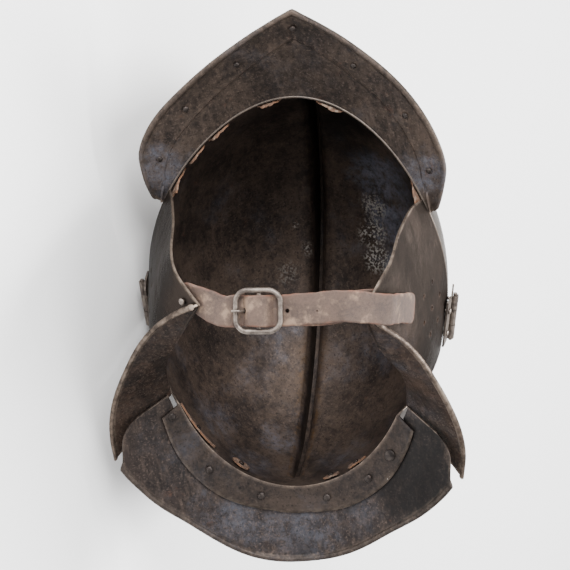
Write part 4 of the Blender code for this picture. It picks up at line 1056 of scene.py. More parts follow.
@dataclass
class Bowl:
    """Bowl with its hollow comb and the strip that turns out round the nape."""

    skull: Skull = SKULL
    comb: Comb = COMB
    collar: Collar = COLLAR
    columns: int = 76
    rows: int = 30
    dent: float = 0.00028
    middle: Triple = (0.0, 0.0, 0.01)
    # Wear mark at the nape's edge, which is the bend to the strip: wear and a painted highlight along the
    # bend
    nape_wear_and_highlight: float = 0.5
    side_wear: float = 0.10
    ochre_from: float = 0.60
    strip_shares: tuple[float, ...] = (0.04, 0.12, 0.35, 0.6, 0.85, 1.0)

    def azimuths(self) -> np.ndarray:
        """Azimuths of the columns.

        Returns:
            Degrees from the forehead to the nape, closer together where the side edge falls steeply.
        """
        bend = (104, 106, 107.2, 108.4, 110, 112.5, 114.5, self.skull.nape_start)
        marks = np.array([0, 30, 62, *bend, 150, 180])
        spread = np.array([0, 14, 29, 42, 44, 46, 48, 50, 52, 54, 56, 66, 76], float) / 76
        return np.interp(np.linspace(0, 1, self.columns + 1), spread, marks)

    def half(self, sign: int) -> np.ndarray:
        """One half of the inner face: great-circle lines from the edge to the comb, then up the comb.

        A line turns from the edge's direction to the foot's by spherical interpolation. On the comb
        the half width shrinks to the crest's as the height rises by the comb's profile.

        Args:
            sign: one for the wearer's left and minus one for the right.

        Returns:
            (columns, rows, 3) points.
        """
        a = self.azimuths() * sign
        share = np.abs(a) / 180
        start = self.skull.direction(a, self.skull.rim(a))
        ends = (share == 0) | (share == 1)
        foot = self.comb.direction(share, np.where(ends, 0.0, self.comb.foot()) * sign, self.skull)
        t = np.concatenate([[0.0, 0.005], np.linspace(0.02, 1, self.rows - 2) ** 0.95])[None, :, None]
        face = self.skull.lifted(great_circle(start[:, None], foot[:, None], t), 0.0)
        level = np.array(self.comb.levels)
        width = np.where(ends[:, None], 0.0, self.comb.half_width(level)[None, :]) * sign
        height = self.comb.height * table(self.comb.profile, share)[:, None] * level[None, :]
        ridge = self.skull.lifted(self.comb.direction(share[:, None], width, self.skull), height)
        ridge[..., 0] = width
        return np.concatenate([face, ridge], axis=1)

    def form(self) -> Form:
        """Inner face of the bowl, comb and strip, before it gets its wall.

        Returns:
            The form, worn at its edge with a painted highlight along the nape's bend, and ochre along the
            rear of the comb's foot.
        """
        left, right = self.half(1), self.half(-1)
        grid = np.concatenate([left, right[:, ::-1]], axis=1)
        grid = grid + self.dents(grid)
        n, m, _ = grid.shape
        rim = np.zeros((n, m))
        # At the nape the edge is the bend to the strip, and its wear mark also paints the bend's highlight
        rim[:, (0, -1)] = np.where(self.azimuths() < 112, self.side_wear, self.nape_wear_and_highlight)[:, None]
        foot = np.clip((self.azimuths() / 180 - self.ochre_from) / 0.12, 0, 1)
        tint = np.zeros((n, m))
        for step, share in ((-2, 0.45), (-1, 1.0), (0, 0.9), (1, 0.4)):
            column = self.rows + step
            tint[:, column] = tint[:, m - 1 - column] = foot * share
        shell = Form(grid.reshape(-1, 3), grid_faces(n, m), rim.ravel(), np.zeros(n * m), tint.ravel())
        return shell.joined(self.strip(left[:, 0])).joined(self.strip(right[:, 0]))

    def dents(self, grid: np.ndarray) -> np.ndarray:
        """Shallow uneven places from the hammer, fading out at the edges of the plate.

        Args:
            grid: (n, m, 3) points of the bowl.

        Returns:
            The steps that they take away from its middle.
        """
        n, m, _ = grid.shape
        fade = np.minimum(np.arange(m), np.arange(m)[::-1]) / 6
        fade = np.clip(fade, 0, 1) * np.where(np.abs(np.arange(m) - (m - 1) / 2) < 12, 0, 1)
        amount = wobble(grid, 0.045, 4) * self.dent * fade[None, :]
        return unit(grid - np.array(self.middle)) * amount[..., None]

    def strip(self, rim: np.ndarray) -> Form:
        """Strip that starts on the bowl's edge and runs out along the collar.

        Args:
            rim: (n, 3) points of the bowl's edge, from the forehead to the nape.

        Returns:
            The strip's form, with wear and a painted highlight along the bend, wear at its far edge and
            painted shade over its face, as the neck guard has.
        """
        a = self.azimuths()
        edge = rim[a >= self.skull.nape_start - 1e-6]
        plan = np.degrees(np.arctan2(edge[:, 0], -edge[:, 1]))
        plan = np.where(np.abs(edge[:, 0]) < 1e-9, 180.0 * np.sign(rim[5, 0]), plan)
        start = abs(plan[0])
        share = np.clip((np.abs(plan) - start) / (180 - start), 0, 1)
        width = self.collar.strip_width + self.collar.strip_swell * np.sin(math.pi * share)
        point = np.exp(-(((np.abs(plan) - 180) / 4.0) ** 2)) * self.collar.strip_point
        width = width + point + 0.0004 * wobble(edge, 0.03, 8)
        lines = [self.collar.point(plan, width * s, 0.0, self.skull) for s in self.strip_shares]
        grid = np.stack([edge, *lines], axis=1)
        n, m, _ = grid.shape
        # Wear mark: 0.7 and 0.2 at the bend are wear and a painted highlight, 0.3 at the far edge is wear
        wear = np.tile([0.7, 0.2, 0.0, 0.0, 0.0, 0.0, 0.3], n)
        # Painted shade over the strip's face, written as a tint below nought
        painted_shade = np.tile([0.0, -0.25, -0.5, -0.5, -0.5, -0.5, -0.5], n)
        return Form(grid.reshape(-1, 3), grid_faces(n, m), wear, np.zeros(n * m), painted_shade)

    def dress(self, finish: Material) -> None:
        """Makes the bowl and gives it its wall.

        Args:
            finish: its material.
        """
        piece = put("bowl_shell", self.form(), finish, ["bowl"], 50)
        wall = piece.modifiers.new("wall", "SOLIDIFY")
        wall.thickness = self.skull.wall
        wall.offset = self.outward(piece)
        wall.use_even_offset = False
        apply_modifiers(piece)
        self.mark_outside(piece)

    def outward(self, piece: Piece) -> float:
        """Side of the bowl's faces that is outside.

        Args:
            piece: the bowl.

        Returns:
            One where the faces look away from the hollow, and minus one where they look into it.
        """
        faces = piece.data.polygons
        away = read(faces, "center") - REST.place(np.array(self.middle))
        return float(np.sign((read(faces, "normal") * away).sum()))

    def mark_outside(self, piece: Piece) -> None:
        """Sets the polish of the points that face away from the hollow, above the collar's bend.

        Args:
            piece: the bowl.
        """
        mesh = piece.data
        place = read(mesh.vertices, "co")
        away = unit(place - REST.place(np.array(self.middle)))
        outside = (read(mesh.vertices, "normal") * away).sum(-1) > 0
        height = (place - REST.place(np.zeros(3))) @ REST.turn(np.array([0.0, 0.0, 1.0]))
        outside &= height > 0.002 - self.skull.nape_drop
        layer = mesh.attributes.get("polish") or mesh.attributes.new("polish", "FLOAT", "POINT")
        layer.data.foreach_set("value", outside.astype(np.float32))


# Peak


@dataclass
class Peak:
    """Pointed peak, lapped on the forehead, with a line round its border and a rolled edge."""

    skull: Skull = SKULL
    comb: Comb = COMB
    reach: float = 0.0674
    wall: float = 0.0015
    fall: float = 0.29
    lap: float = 0.011
    border: float = 0.018
    border_share: float = 0.74
    step: float = 0.0008
    end: float = 62.0
    lift: float = 0.0014
    rubbed: float = 0.08
    outline: Rows = (
        (-54.5, 0.07),
        (-50.0, 0.24),
        (-44.6, 0.41),
        (-36.0, 0.505),
        (-27.0, 0.545),
        (-20.0, 0.600),
        (-13.1, 0.680),
        (-6.6, 0.81),
        (0.0, 1.00),
        (6.6, 0.84),
        (13.1, 0.725),
        (20.0, 0.645),
        (27.0, 0.575),
        (36.0, 0.480),
        (44.6, 0.345),
        (50.0, 0.18),
        (54.5, 0.04),
    )

    def reaches(self, plan: np.ndarray) -> np.ndarray:
        """Reach of the peak: the outline on each side by itself, so that the tip stays a point.

        Args:
            plan: degrees from the front, seen from above.

        Returns:
            Distances from the bowl's edge in metres.
        """
        left = tuple(row for row in self.outline if row[0] >= 0)
        right = tuple(row for row in self.outline if row[0] <= 0)
        return self.reach * np.where(plan >= 0, table(left, plan), table(right, plan))

    def grid(self) -> np.ndarray:
        """Lower face: the lap over the forehead, the sloping brim and the sunk line of its border.

        Returns:
            (n, m, 3) points, stations from the wearer's left to right and rows from the lap to the tip.
        """
        left = np.linspace(self.end, 8, 54)
        a = np.concatenate([left, np.linspace(7.2, -7.2, 21), -left[::-1]])
        low = self.skull.direction(a, self.skull.rim(a))
        foot = self.comb.direction(np.abs(a) / 180, np.sign(a) * self.comb.foot(), self.skull)
        length = np.linalg.norm(self.skull.point(low) - self.skull.point(foot), axis=-1)
        rows = []
        for share in (1.0, 0.75, 0.5, 0.25):
            up = (share * self.lap / length)[:, None]
            rows.append(self.skull.lifted(great_circle(low, foot, up), self.lift))
        seat = self.skull.lifted(low, self.lift)
        plan = np.arctan2(seat[:, 0], -seat[:, 1])
        ahead = unit(np.stack([np.sin(plan), -np.cos(plan), np.full(len(plan), -self.fall)], axis=-1))
        reach = self.reaches(np.degrees(plan))
        border = np.minimum(self.border, reach * self.border_share)
        inner = reach - border
        outs = [inner * s for s in (0.0, 0.06, 0.2, 0.4, 0.6, 0.8, 0.93)]
        outs += [inner - self.step * 1.1, inner - self.step * 0.5, inner, inner + border * 0.06]
        outs += [inner + border * s for s in (0.25, 0.5, 0.75, 0.93, 1.0)]
        sunk = [0.0] * 7 + [0.0, -0.0003, self.step * 0.6, self.step] + [self.step] * 5
        for out, up in zip(outs, sunk):
            point = seat + ahead * out[:, None] + np.array([0, 0, up])
            point[:, 2] += 0.0007 * wobble(point, 0.06, 5) * np.clip(out / 0.02, 0, 1)
            point[:, 2] += 0.0008 * np.exp(-((a / 1.3) ** 2)) * np.clip(out / 0.01, 0, 1)
            rows.append(point)
        return np.stack(rows, axis=1)

    def dress(self, finish: Material) -> None:
        """Makes the peak.

        Args:
            finish: its material.
        """
        grid = self.grid()
        form = plate(grid, self.wall, np.full(len(grid), BEAD), self.rubbed)
        put("peak_plate", form, finish, ["peak"], 55)


# Neck guard


@dataclass
class NeckGuard:
    """Flared neck guard over the bowl's strip, with a rolled edge between the cheekpieces."""

    skull: Skull = SKULL
    collar: Collar = COLLAR
    reach: float = 0.0464
    wall: float = 0.0013
    inner: float = 0.0046
    bead_from: float = 128.0
    rubbed: float = 0.14
    outline: Rows = (
        (119.5, 0.62),
        (120.5, 0.77),
        (122.5, 0.91),
        (127.0, 1.05),
        (129.5, 1.12),
        (140.0, 1.07),
        (155.0, 0.98),
        (168.0, 0.99),
        (180.0, 1.00),
    )

    def dress(self, finish: Material) -> None:
        """Makes the neck guard: lines out along the collar, from its inner edge to its reach.

        Args:
            finish: its material.
        """
        half = np.concatenate([np.linspace(self.outline[0][0], 130, 26), np.linspace(131, 180, 44)])
        plan = np.concatenate([-half, half[-2::-1]])
        reach = self.reach * table(self.outline, np.abs(plan))
        rows = []
        for share in np.concatenate([np.linspace(0, 0.92, 14), [0.97, 1.0]]):
            out = self.inner + (reach - self.inner) * share
            point = self.collar.point(plan, out, self.skull.wall + self.collar.lap, self.skull)
            fade = np.clip((out - 0.026) / 0.01, 0, 1)
            point[:, 2] += 0.0009 * wobble(point, 0.05, 11) * fade * np.clip((np.abs(plan) - 131) / 8, 0, 1)
            rows.append(point)
        grid = np.stack(rows, axis=1)
        bead = BEAD * np.clip((np.abs(plan) - self.bead_from) / 1.5, 0, 1)
        form = plate(grid, self.wall, bead, self.rubbed)
        put("neck_guard_plate", form, finish, ["neck_guard"], 55)


# Cheekpieces


@dataclass
class Cheekpiece:
    """One cheekpiece: a wall blended between four edges, and a flange with a rolled edge."""

    side: Side
    skull: Skull = SKULL
    depth: float = 0.105
    front: float = 0.076
    rear: float = 0.047
    wall: float = 0.0013
    rim_gap: float = 0.0022
    flange_half: float = 0.1115
    flange_rear: float = 0.0840
    flange_drop: float = 0.0795
    ear_along: float = 0.56
    ear_down: float = 0.40
    ear_ring: float = 0.0165
    ear_hole: float = 0.0015
    rubbed: float = 0.50
    top_azimuths: tuple[float, ...] = (57.0, 66.0, 78.0, 91.0, 103.5)
    front_edge: Triples = (
        (0.775, -1.00, -0.19),
        (0.72, -0.99, -0.45),
        (0.69, -0.94, -0.70),
        (0.63, -0.87, -0.86),
    )
    rear_edge: Triples = ((0.955, 0.76, -0.27), (0.90, 0.86, -0.58), (0.785, 0.97, -0.937))
    fold: Triples = (
        (0.62, -0.53, -0.91),
        (0.71, -0.12, -0.825),
        (0.765, 0.19, -0.745),
        (0.79, 0.55, -0.655),
    )
    flange_edge: Triples = (
        (0.555, -0.50, 0.14),
        (0.66, -0.36, 0.28),
        (0.755, -0.18, 0.40),
        (0.85, 0.08, 0.56),
        (0.925, 0.335, 0.72),
        (0.975, 0.59, 0.935),
        (0.995, 0.815, 1.09),
        (0.987, 1.025, 1.15),
    )
    flange_shares: tuple[float, ...] = (0.03, 0.10, 0.25, 0.4, 0.55, 0.7, 0.85, 0.96, 1.0)

    def chin(self) -> float:
        """Half distance of the chin end, a little wider on the wearer's left."""
        return 0.0520 if self.side is Side.LEFT else 0.0450

    def scaled(self, rows: Triples, *scale: float) -> np.ndarray:
        """Rows of shares scaled by three sizes, on this cheekpiece's side."""
        return np.array(rows) * np.array(scale) * np.array([self.side.value, 1, 1])

    def curves(self) -> dict[str, np.ndarray]:
        """Lines that bound the cheekpiece.

        Returns:
            Points of the top, front and rear edges, of the bend and of the flange's edge, by name.
        """
        s = self.side.value
        a = np.array(self.top_azimuths)
        top = self.skull.point(self.skull.direction(a, -self.rim_gap + np.clip(self.skull.rim(a), 0, None)))
        top[:, 0] *= s
        w, d = self.skull.half_width, self.depth
        chin = np.array([[s * self.chin(), self.front * -0.71, -d]])
        front = np.vstack([top[:1], self.scaled(self.front_edge, w, self.front, d), chin])
        rear = np.vstack([top[-1:], self.scaled(self.rear_edge, w, self.rear, self.skull.nape_drop)])
        bend = np.vstack([chin, self.scaled(self.fold, w, self.rear, d), rear[-1:]])
        shares = np.array(self.flange_edge)
        drop = -(d + (self.flange_drop - d) * shares[:, 2])
        edge = np.stack([s * self.flange_half * shares[:, 0], self.flange_rear * shares[:, 1], drop], axis=-1)
        edge = np.vstack([chin + np.array([s * 0.0035, 0.001, -0.0012]), edge])
        return {"top": top, "front": front, "rear": rear, "bend": bend, "edge": edge}

    def face(self, along: np.ndarray, down: np.ndarray) -> np.ndarray:
        """Inner face: the top-to-bend blend plus the front-to-rear blend less that of the corners.

        Args:
            along: (n,) shares from the front edge to the rear one.
            down: (m,) shares from the top edge to the bend.

        Returns:
            (n, m, 3) points.
        """
        c = self.curves()
        u, v = along[:, None, None], down[None, :, None]
        top, bend = through(c["top"], along)[:, None], through(c["bend"], along)[:, None]
        front, rear = through(c["front"], down)[None], through(c["rear"], down)[None]
        upper = c["top"][0] * (1 - u) + c["top"][-1] * u
        lower = c["bend"][0] * (1 - u) + c["bend"][-1] * u
        return top * (1 - v) + bend * v + front * (1 - u) + rear * u - (upper * (1 - v) + lower * v)

    def seat(self, along: float, down: float, lift: float) -> tuple[np.ndarray, np.ndarray]:
        """Point off the inner face.

        Args:
            along: share from the front edge to the rear one.
            down: share from the top edge to the bend.
            lift: distance away from the head.

        Returns:
            The point, and the unit normal away from the head there.
        """
        step = 0.01
        a = np.clip([along - step, along, along + step], 0, 1)
        d = np.clip([down - step, down, down + step], 0, 1)
        patch = self.face(a, d)
        out = unit(np.cross(patch[2, 1] - patch[0, 1], patch[1, 2] - patch[1, 0]))
        out = out if out[0] * self.side.value > 0 else -out
        return patch[1, 1] + out * lift, out

    def dress(self, finish: Material) -> None:
        """Makes the cheekpiece and drills its hearing holes: six in a ring and one in its middle.

        Args:
            finish: its material.
        """
        along = np.linspace(0, 1, 64)
        down = np.linspace(0, 1, 34)
        wall = self.face(along, down)
        edge = through(self.curves()["edge"], along)
        root = wall[:, -1]
        flange = np.stack([root + (edge - root) * s for s in self.flange_shares], axis=1)
        wave = 0.0005 * wobble(flange, 0.05, 21) * np.clip(np.array(self.flange_shares) - 0.1, 0, 1)
        flange[..., 2] += wave * np.clip((0.75 - along) / 0.2, 0, 1)[:, None]
        grid = np.concatenate([wall, flange], axis=1)
        if self.side is Side.LEFT:
            grid = grid[::-1]
        name = self.side.name.lower()
        form = plate(grid, self.wall, np.full(len(grid), BEAD), self.rubbed)
        piece = put(f"cheekpiece_{name}_plate", form, finish, [f"cheekpiece_{name}"], 50)
        centre, axis = self.seat(self.ear_along, self.ear_down, 0.0)
        up = np.array([0.0, 0.0, 1.0])
        first = unit(up - axis * (up @ axis))
        second = np.cross(axis, first)
        angle = np.radians(np.arange(0, 360, 60))
        ring = centre + self.ear_ring * (np.cos(angle)[:, None] * first + np.sin(angle)[:, None] * second)
        centres = np.vstack([ring, centre])
        bore(piece, centres, np.tile(axis, (7, 1)), np.full(7, self.ear_hole), 0.006)


# Lining


@dataclass(frozen=True)
class Scrap:
    """Remnant of the lining: node, azimuth, height above the bowl's edge, sizes, turn and curl."""

    node: str
    azimuth: float
    above: float
    length: float
    width: float
    turn: float
    curl: float


@dataclass
class Lining:
    """Torn pieces of leather that the lining's rivets still hold."""

    skull: Skull = SKULL
    gap: float = 0.0010
    wall: float = 0.0012
    hole: float = 0.0016
    head: float = 0.0028
    outline: tuple[float, ...] = (1.00, 0.92, 0.78, 0.96, 1.00, 0.84, 0.72, 0.94)
    scraps: tuple[Scrap, ...] = (
        Scrap("forehead_1", -55.5, 0.0065, 0.0170, 0.0120, 60.0, 0.0015),
        Scrap("forehead_2", -45.5, 0.0060, 0.0130, 0.0115, 35.0, 0.0020),
        Scrap("forehead_3", -35.5, 0.0060, 0.0150, 0.0120, 20.0, 0.0026),
        Scrap("forehead_4", -14.0, 0.0060, 0.0170, 0.0125, 5.0, 0.0032),
        Scrap("forehead_5", 14.0, 0.0060, 0.0210, 0.0125, -8.0, 0.0032),
        Scrap("forehead_6", 55.5, 0.0065, 0.0180, 0.0120, -60.0, 0.0015),
        Scrap("nape_1", -131.0, 0.0080, 0.0320, 0.0090, 4.0, 0.0006),
        Scrap("nape_2", -155.5, 0.0120, 0.0130, 0.0110, 25.0, 0.0010),
        Scrap("nape_3", 161.0, 0.0080, 0.0110, 0.0080, -10.0, 0.0006),
        Scrap("nape_4", 149.0, 0.0120, 0.0150, 0.0120, 15.0, 0.0008),
    )

    def form(self, scrap: Scrap) -> Form:
        """A ragged ring round the rivet, laid along the bowl's inner face.

        Its outline is an ellipse whose radius swells by the outline's shares and a little noise. Below
        the rivet's head it curls inwards.

        Args:
            scrap: the remnant's place and sizes.

        Returns:
            Its form, worn towards its torn edge.
        """
        azimuth = np.array(scrap.azimuth)
        middle = self.skull.direction(azimuth, self.skull.rim(azimuth) + scrap.above)
        level = unit(np.cross([0.0, 0.0, 1.0], middle))
        upward = unit(np.cross(middle, level))
        count, rings = 40, 8
        angle = np.linspace(0, 2 * math.pi, count, endpoint=False)
        swell = np.interp(np.arange(count) / count * 8, np.arange(9), [*self.outline, self.outline[0]])
        rng = np.random.default_rng(int(abs(scrap.azimuth) * 10))
        swell = swell * (1 + 0.05 * rng.standard_normal(count))
        circle = np.stack([np.cos(angle), np.sin(angle)], axis=-1)
        far = circle * [scrap.length / 2, scrap.width / 2] * swell[:, None]
        near = circle * self.hole
        share = np.linspace(0, 1, rings)[:, None, None]
        flat = near + (far - near) * share
        t = math.radians(scrap.turn)
        flat = flat @ np.array([[math.cos(t), math.sin(t)], [-math.sin(t), math.cos(t)]])
        below = (-flat[..., 1] - self.head - 0.0009) / (scrap.width / 2 - self.head)
        hang = np.clip(below, 0, None) ** 1.3
        aim = unit(middle + (flat[..., :1] * level + flat[..., 1:] * upward) / self.skull.half_width)
        crinkle = 0.00025 * wobble(aim * 0.12, 0.006, 3) * share[..., 0]
        faces: Faces = []
        depths = (self.gap, self.gap + self.wall * 0.9)
        layers = [self.skull.lifted(aim, -depth - scrap.curl * hang + crinkle) for depth in depths]
        points = np.concatenate([layer.reshape(-1, 3) for layer in layers])
        size = count * rings
        for start in (0, size):
            faces += grid_faces(rings, count, True, start)
        for ring in (0, rings - 1):
            for k in range(count):
                a, b = ring * count + k, ring * count + (k + 1) % count
                faces.append([a, b, b + size, a + size])
        wear = np.tile(np.repeat(np.linspace(0, 1, rings) ** 3, count), 2)
        return Form(points, faces, wear)

    def dress(self, finish: Material) -> None:
        """Makes every remnant.

        Args:
            finish: their material.
        """
        for scrap in self.scraps:
            nodes = [f"{scrap.node}_lining"]
            put(f"{scrap.node}_leather", self.form(scrap), finish, nodes, 60)


# Rivets and hinges


@dataclass
class Fastenings:
    """Rivets and hinges: each one keeps its CAD shape, the rivets rounded off as hammered iron is."""

    dark_rivets: tuple[str, ...] = ("peak", "neck", "nape", "forehead")

    def dress(self, iron: Material, dark: Material) -> None:
        """Rounds the rivets' heads and gives the hinges their finish.

        Args:
            iron: finish of the hinges and of the rivets of the hinges and the strap.
            dark: finish of the other rivets.
        """
        for name, node in list(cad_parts.items()):
            if "rivet" in name:
                self.round_off(name, node, dark if name.startswith(self.dark_rivets) else iron)
            elif name.startswith("hinge"):
                for slot in node.material_slots:
                    slot.material = iron

    def round_off(self, name: str, node: Piece, finish: Material) -> None:
        """Makes a copy of a rivet with its corners merged and rounded by subdivision.

        Args:
            name: the rivet's node.
            node: its object.
            finish: its material.
        """
        mesh = node.data.copy()
        turn_out(mesh, merge_flat)
        mesh.materials.clear()
        mesh.materials.append(finish)
        mesh.shade_smooth()
        piece = add_object(name + "_head", mesh)
        rounding = piece.modifiers.new("rounding", "SUBSURF")
        rounding.levels = rounding.render_levels = 2
        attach(piece, "root")
        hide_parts(name)
        LOG.info("%s_head: %d faces for %s", name, len(mesh.polygons), name)


# Chin strap and buckle


@dataclass
class Buckle:
    """Iron buckle: a rounded frame, its middle bar and the prong on its far side."""

    centre: Triple = (-0.0086, -0.0555, -0.1105)
    along: Triple = (0.996, -0.076, -0.035)
    outward: Triple = (0.10, -0.52, -0.85)
    half_length: float = 0.0136
    half_width: float = 0.0123
    corner: float = 0.0073
    wire: float = 0.0016
    bar_radius: float = 0.0012
    bar_drop: float = 0.0022
    prong_radius: float = 0.0008
    fit_gap: float = 0.0003
    level: float = 0.0036
    rise_middle: tuple[float, float] = (-0.60, 0.38)
    rise_start: tuple[float, float] = (-0.42, 0.00048)
    rise_end: tuple[float, float] = (-0.80, 0.86)

    def axes(self) -> np.ndarray:
        """Unit vectors along the strap, across it and away from the chin, as rows."""
        x = unit(np.array(self.along))
        z = unit(np.array(self.outward) - x * (np.array(self.outward) @ x))
        return np.stack([x, np.cross(z, x), z])

    def at(self, local: np.ndarray) -> np.ndarray:
        """Places in the buckle's own axes, in helmet axes."""
        return local @ self.axes() + np.array(self.centre)

    def bar_level(self) -> float:
        """Height of the middle bar over the strap's middle."""
        return self.level - self.bar_drop

    def top(self) -> float:
        """Height of the prong where it lies on the frame."""
        return self.level + self.wire + 2 * self.fit_gap + self.prong_radius

    def ring(self) -> Form:
        """The frame: a circle carried round a rectangle with round corners.

        Returns:
            Its form, the wire a little uneven in height.
        """
        quarter = np.radians(np.linspace(0, 90, 12))
        flat = []
        for k, (sx, sy) in enumerate(((1, 1), (-1, 1), (-1, -1), (1, -1))):
            angle = quarter + math.pi / 2 * k
            x = sx * (self.half_length - self.corner) + self.corner * np.cos(angle)
            y = sy * (self.half_width - self.corner) + self.corner * np.sin(angle)
            flat.append(np.stack([x, y], axis=-1))
        flat = np.concatenate(flat)
        worn = 0.0002 * np.sin(flat[:, :1] * 700 + 1)
        path = np.concatenate([flat, self.level + worn], axis=1)
        return rod(self.at(path), self.wire, 16, closed=True)

    def prong_path(self) -> np.ndarray:
        """Path of the prong: round the bar, under the strap, up through it and over the frame.

        Returns:
            (60, 3) points in the buckle's own axes.
        """
        radius = self.bar_radius + self.fit_gap + self.prong_radius
        bar = self.bar_level()
        angle = np.radians(np.arange(150, -91, -20))
        loop = np.stack([radius * np.cos(angle), bar + radius * np.sin(angle)], axis=-1)
        h, top = self.half_length, self.top()
        rise = [(self.rise_start[0] * h, self.rise_start[1])]
        rise += [(share * h, top * part) for share, part in (self.rise_middle, self.rise_end)]
        rest = np.array([(-0.26 * h, -0.0008), *rise, (-h, top), (-1.13 * h, top)])
        flat = np.vstack([loop, rest])
        points = np.stack([flat[:, 0], np.zeros(len(flat)), flat[:, 1]], axis=-1)
        return through(points, np.linspace(0, 1, 60))

    def dress(self, iron: Material) -> None:
        """Makes the frame with its bar, and the prong.

        Args:
            iron: their material.
        """
        y = np.linspace(-self.half_width, self.half_width, 9)
        path = self.at(np.stack([np.zeros(9), y, np.full(9, self.bar_level())], axis=-1))
        along, _, out = (np.broadcast_to(axis, path.shape) for axis in self.axes())
        ring = self.ring().joined(tube(path, along, out, self.bar_radius, 12))
        put("buckle_ring", ring, iron, ["buckle_frame"], 60)
        prong = rod(self.at(self.prong_path()), self.prong_radius, 10)
        put("buckle_tongue", prong, iron, ["buckle_prong"], 60)


@dataclass
class ChinStrap:
    """Leather chin strap: the long end through the buckle and the short end that holds it."""

    buckle: Buckle
    left: Cheekpiece
    right: Cheekpiece
    width: float = 0.0190
    wall: float = 0.0022
    short_wall: float = 0.0014
    lift: float = 0.0084
    rise: float = 0.0059
    fit_gap: float = 0.0003
    punch: float = 0.0013
    start: Rows = ((0.115, 0.893), (0.080, 0.914), (0.045, 0.935))
    short_share: float = 0.94
    corner: float = 0.0035
    bridge: Triples = (
        (-0.0230, 0.0000, 0.0),
        (-0.0125, 0.0000, 0.0),
        (0.0000, 0.0000, 0.0),
        (0.0125, 0.0000, 0.0),
        (0.0350, 0.0016, 0.0),
        (0.0520, 0.0028, 0.0008),
    )
    tail: tuple[tuple[float, float, float, float], ...] = (
        (0.060, 0.905, 1.12, 0.50),
        (0.120, 0.855, 0.90, 0.36),
        (0.190, 0.805, 0.60, 0.20),
        (0.265, 0.735, 0.30, 0.08),
        (0.345, 0.665, 0.15, 0.00),
    )
    weave: Rows = (
        (-0.84, 0.0),
        (-0.64, 0.12),
        (-0.45, 0.62),
        (-0.24, 0.98),
        (0.00, 1.0),
        (0.24, 0.98),
        (0.45, 0.62),
        (0.64, 0.12),
        (0.84, 0.0),
    )

    def ribbon(self, path: np.ndarray, normals: np.ndarray, widths: np.ndarray, wall: float) -> Form:
        """Strap: a flat section with rounded edges carried along a path, its faces square to normals.

        Args:
            path: (n, 3) points of its middle line.
            normals: (n, 3) directions that its outer face takes.
            widths: (n,) widths.
            wall: its thickness.

        Returns:
            The strap's form, worn along its edges and at its ends.
        """
        tangent = unit(np.gradient(path, axis=0))
        out = unit(normals - tangent * (normals * tangent).sum(-1, keepdims=True))
        across = np.cross(out, tangent)
        h = wall / 2
        bow = np.radians(np.linspace(-90, 90, 7))
        round_share = 2 * h / self.width
        edge = np.stack([1 - round_share + round_share * np.cos(bow), np.sin(bow)], axis=-1)
        flat = np.linspace(0.85, -0.85, 10)
        top = np.stack([flat, np.ones(10)], axis=-1)
        section = np.vstack([edge, top, edge[::-1] * [-1, 1], top[::-1] * [1, -1]])
        x = section[:, 0] * widths[:, None] / 2
        y = section[:, 1] * h
        points = path[:, None] + across[:, None] * x[..., None] + out[:, None] * y[None, :, None]
        n, m, _ = points.shape
        faces = grid_faces(n, m, True) + [list(range(m)), list(range((n - 1) * m, n * m))]
        rim = np.tile(np.clip((np.abs(section[:, 0]) - 0.80) / 0.18, 0, 1) ** 1.5, (n, 1))
        ends = np.exp(-np.minimum(np.arange(n), np.arange(n)[::-1]) / 2.5)[:, None]
        return Form(points.reshape(-1, 3), faces, np.maximum(rim, ends * 0.8).ravel())

    def long_route(self) -> tuple[np.ndarray, np.ndarray]:
        """Way of the long end: up inside the right cheekpiece, through the buckle and over the left one.

        Returns:
            Its stops, and the directions that its outer face takes there.
        """
        out = self.buckle.axes()[2]
        inside = -self.fit_gap * 6 - self.wall / 2
        outside = self.left.wall + self.wall / 2
        stops = [self.right.seat(a, d, inside) for a, d in self.start]
        stops += [(self.buckle.at(np.array(place)), out) for place in self.bridge]
        for a, d, rise, twist in self.tail:
            point, normal = self.left.seat(a, d, outside + self.lift * rise)
            stops.append((point, unit(normal * (1 - twist) + out * twist)))
        return np.array([s[0] for s in stops]), np.array([s[1] for s in stops])

    def long_end(self, leather: Material) -> None:
        """Makes the long end and punches its holes.

        Args:
            leather: its material.
        """
        stops, facing = self.long_route()
        b = self.buckle
        axes = b.axes()
        share = np.linspace(0, 1, 240)
        path = through(stops, share)
        normals = facings(share, stations(stops), facing)
        along = (path - np.array(b.centre)) @ axes[0] / b.half_length
        path = path + axes[2] * (self.rise * table(self.weave, along))[:, None]
        length = np.linalg.norm(np.diff(stops, axis=0), axis=1).sum()
        to_end = np.clip(np.minimum(share, 1 - share) * length / self.corner, 0, 1)
        trim = np.sqrt(np.clip(1 - (1 - to_end) ** 2, 0, 1))
        uneven = 0.0003 * np.sin(share * 61) + 0.0002 * np.sin(share * 143 + 1)
        widths = self.width + uneven - 2 * self.corner * (1 - trim)
        form = self.ribbon(path, normals, widths, self.wall)
        piece = put("strap_long_leather", form, leather, ["strap_long"], 55)
        h, top = b.half_length, b.top()
        (middle, part), (end, end_part) = b.rise_middle, b.rise_end
        centres = b.at(np.array([[middle * h, 0, top * part], [0.0172, 0, 0], [0.0352, 0, 0]]))
        slanted = np.array([(end - b.rise_start[0]) * h, 0, top * end_part - b.rise_start[1]])
        axis = unit(np.array([slanted, [0, 0, 1], [0, 0, 1]], float)) @ axes
        bore(piece, centres, axis, np.array([b.prong_radius + 0.0010, self.punch, 0.0005]), 0.004)

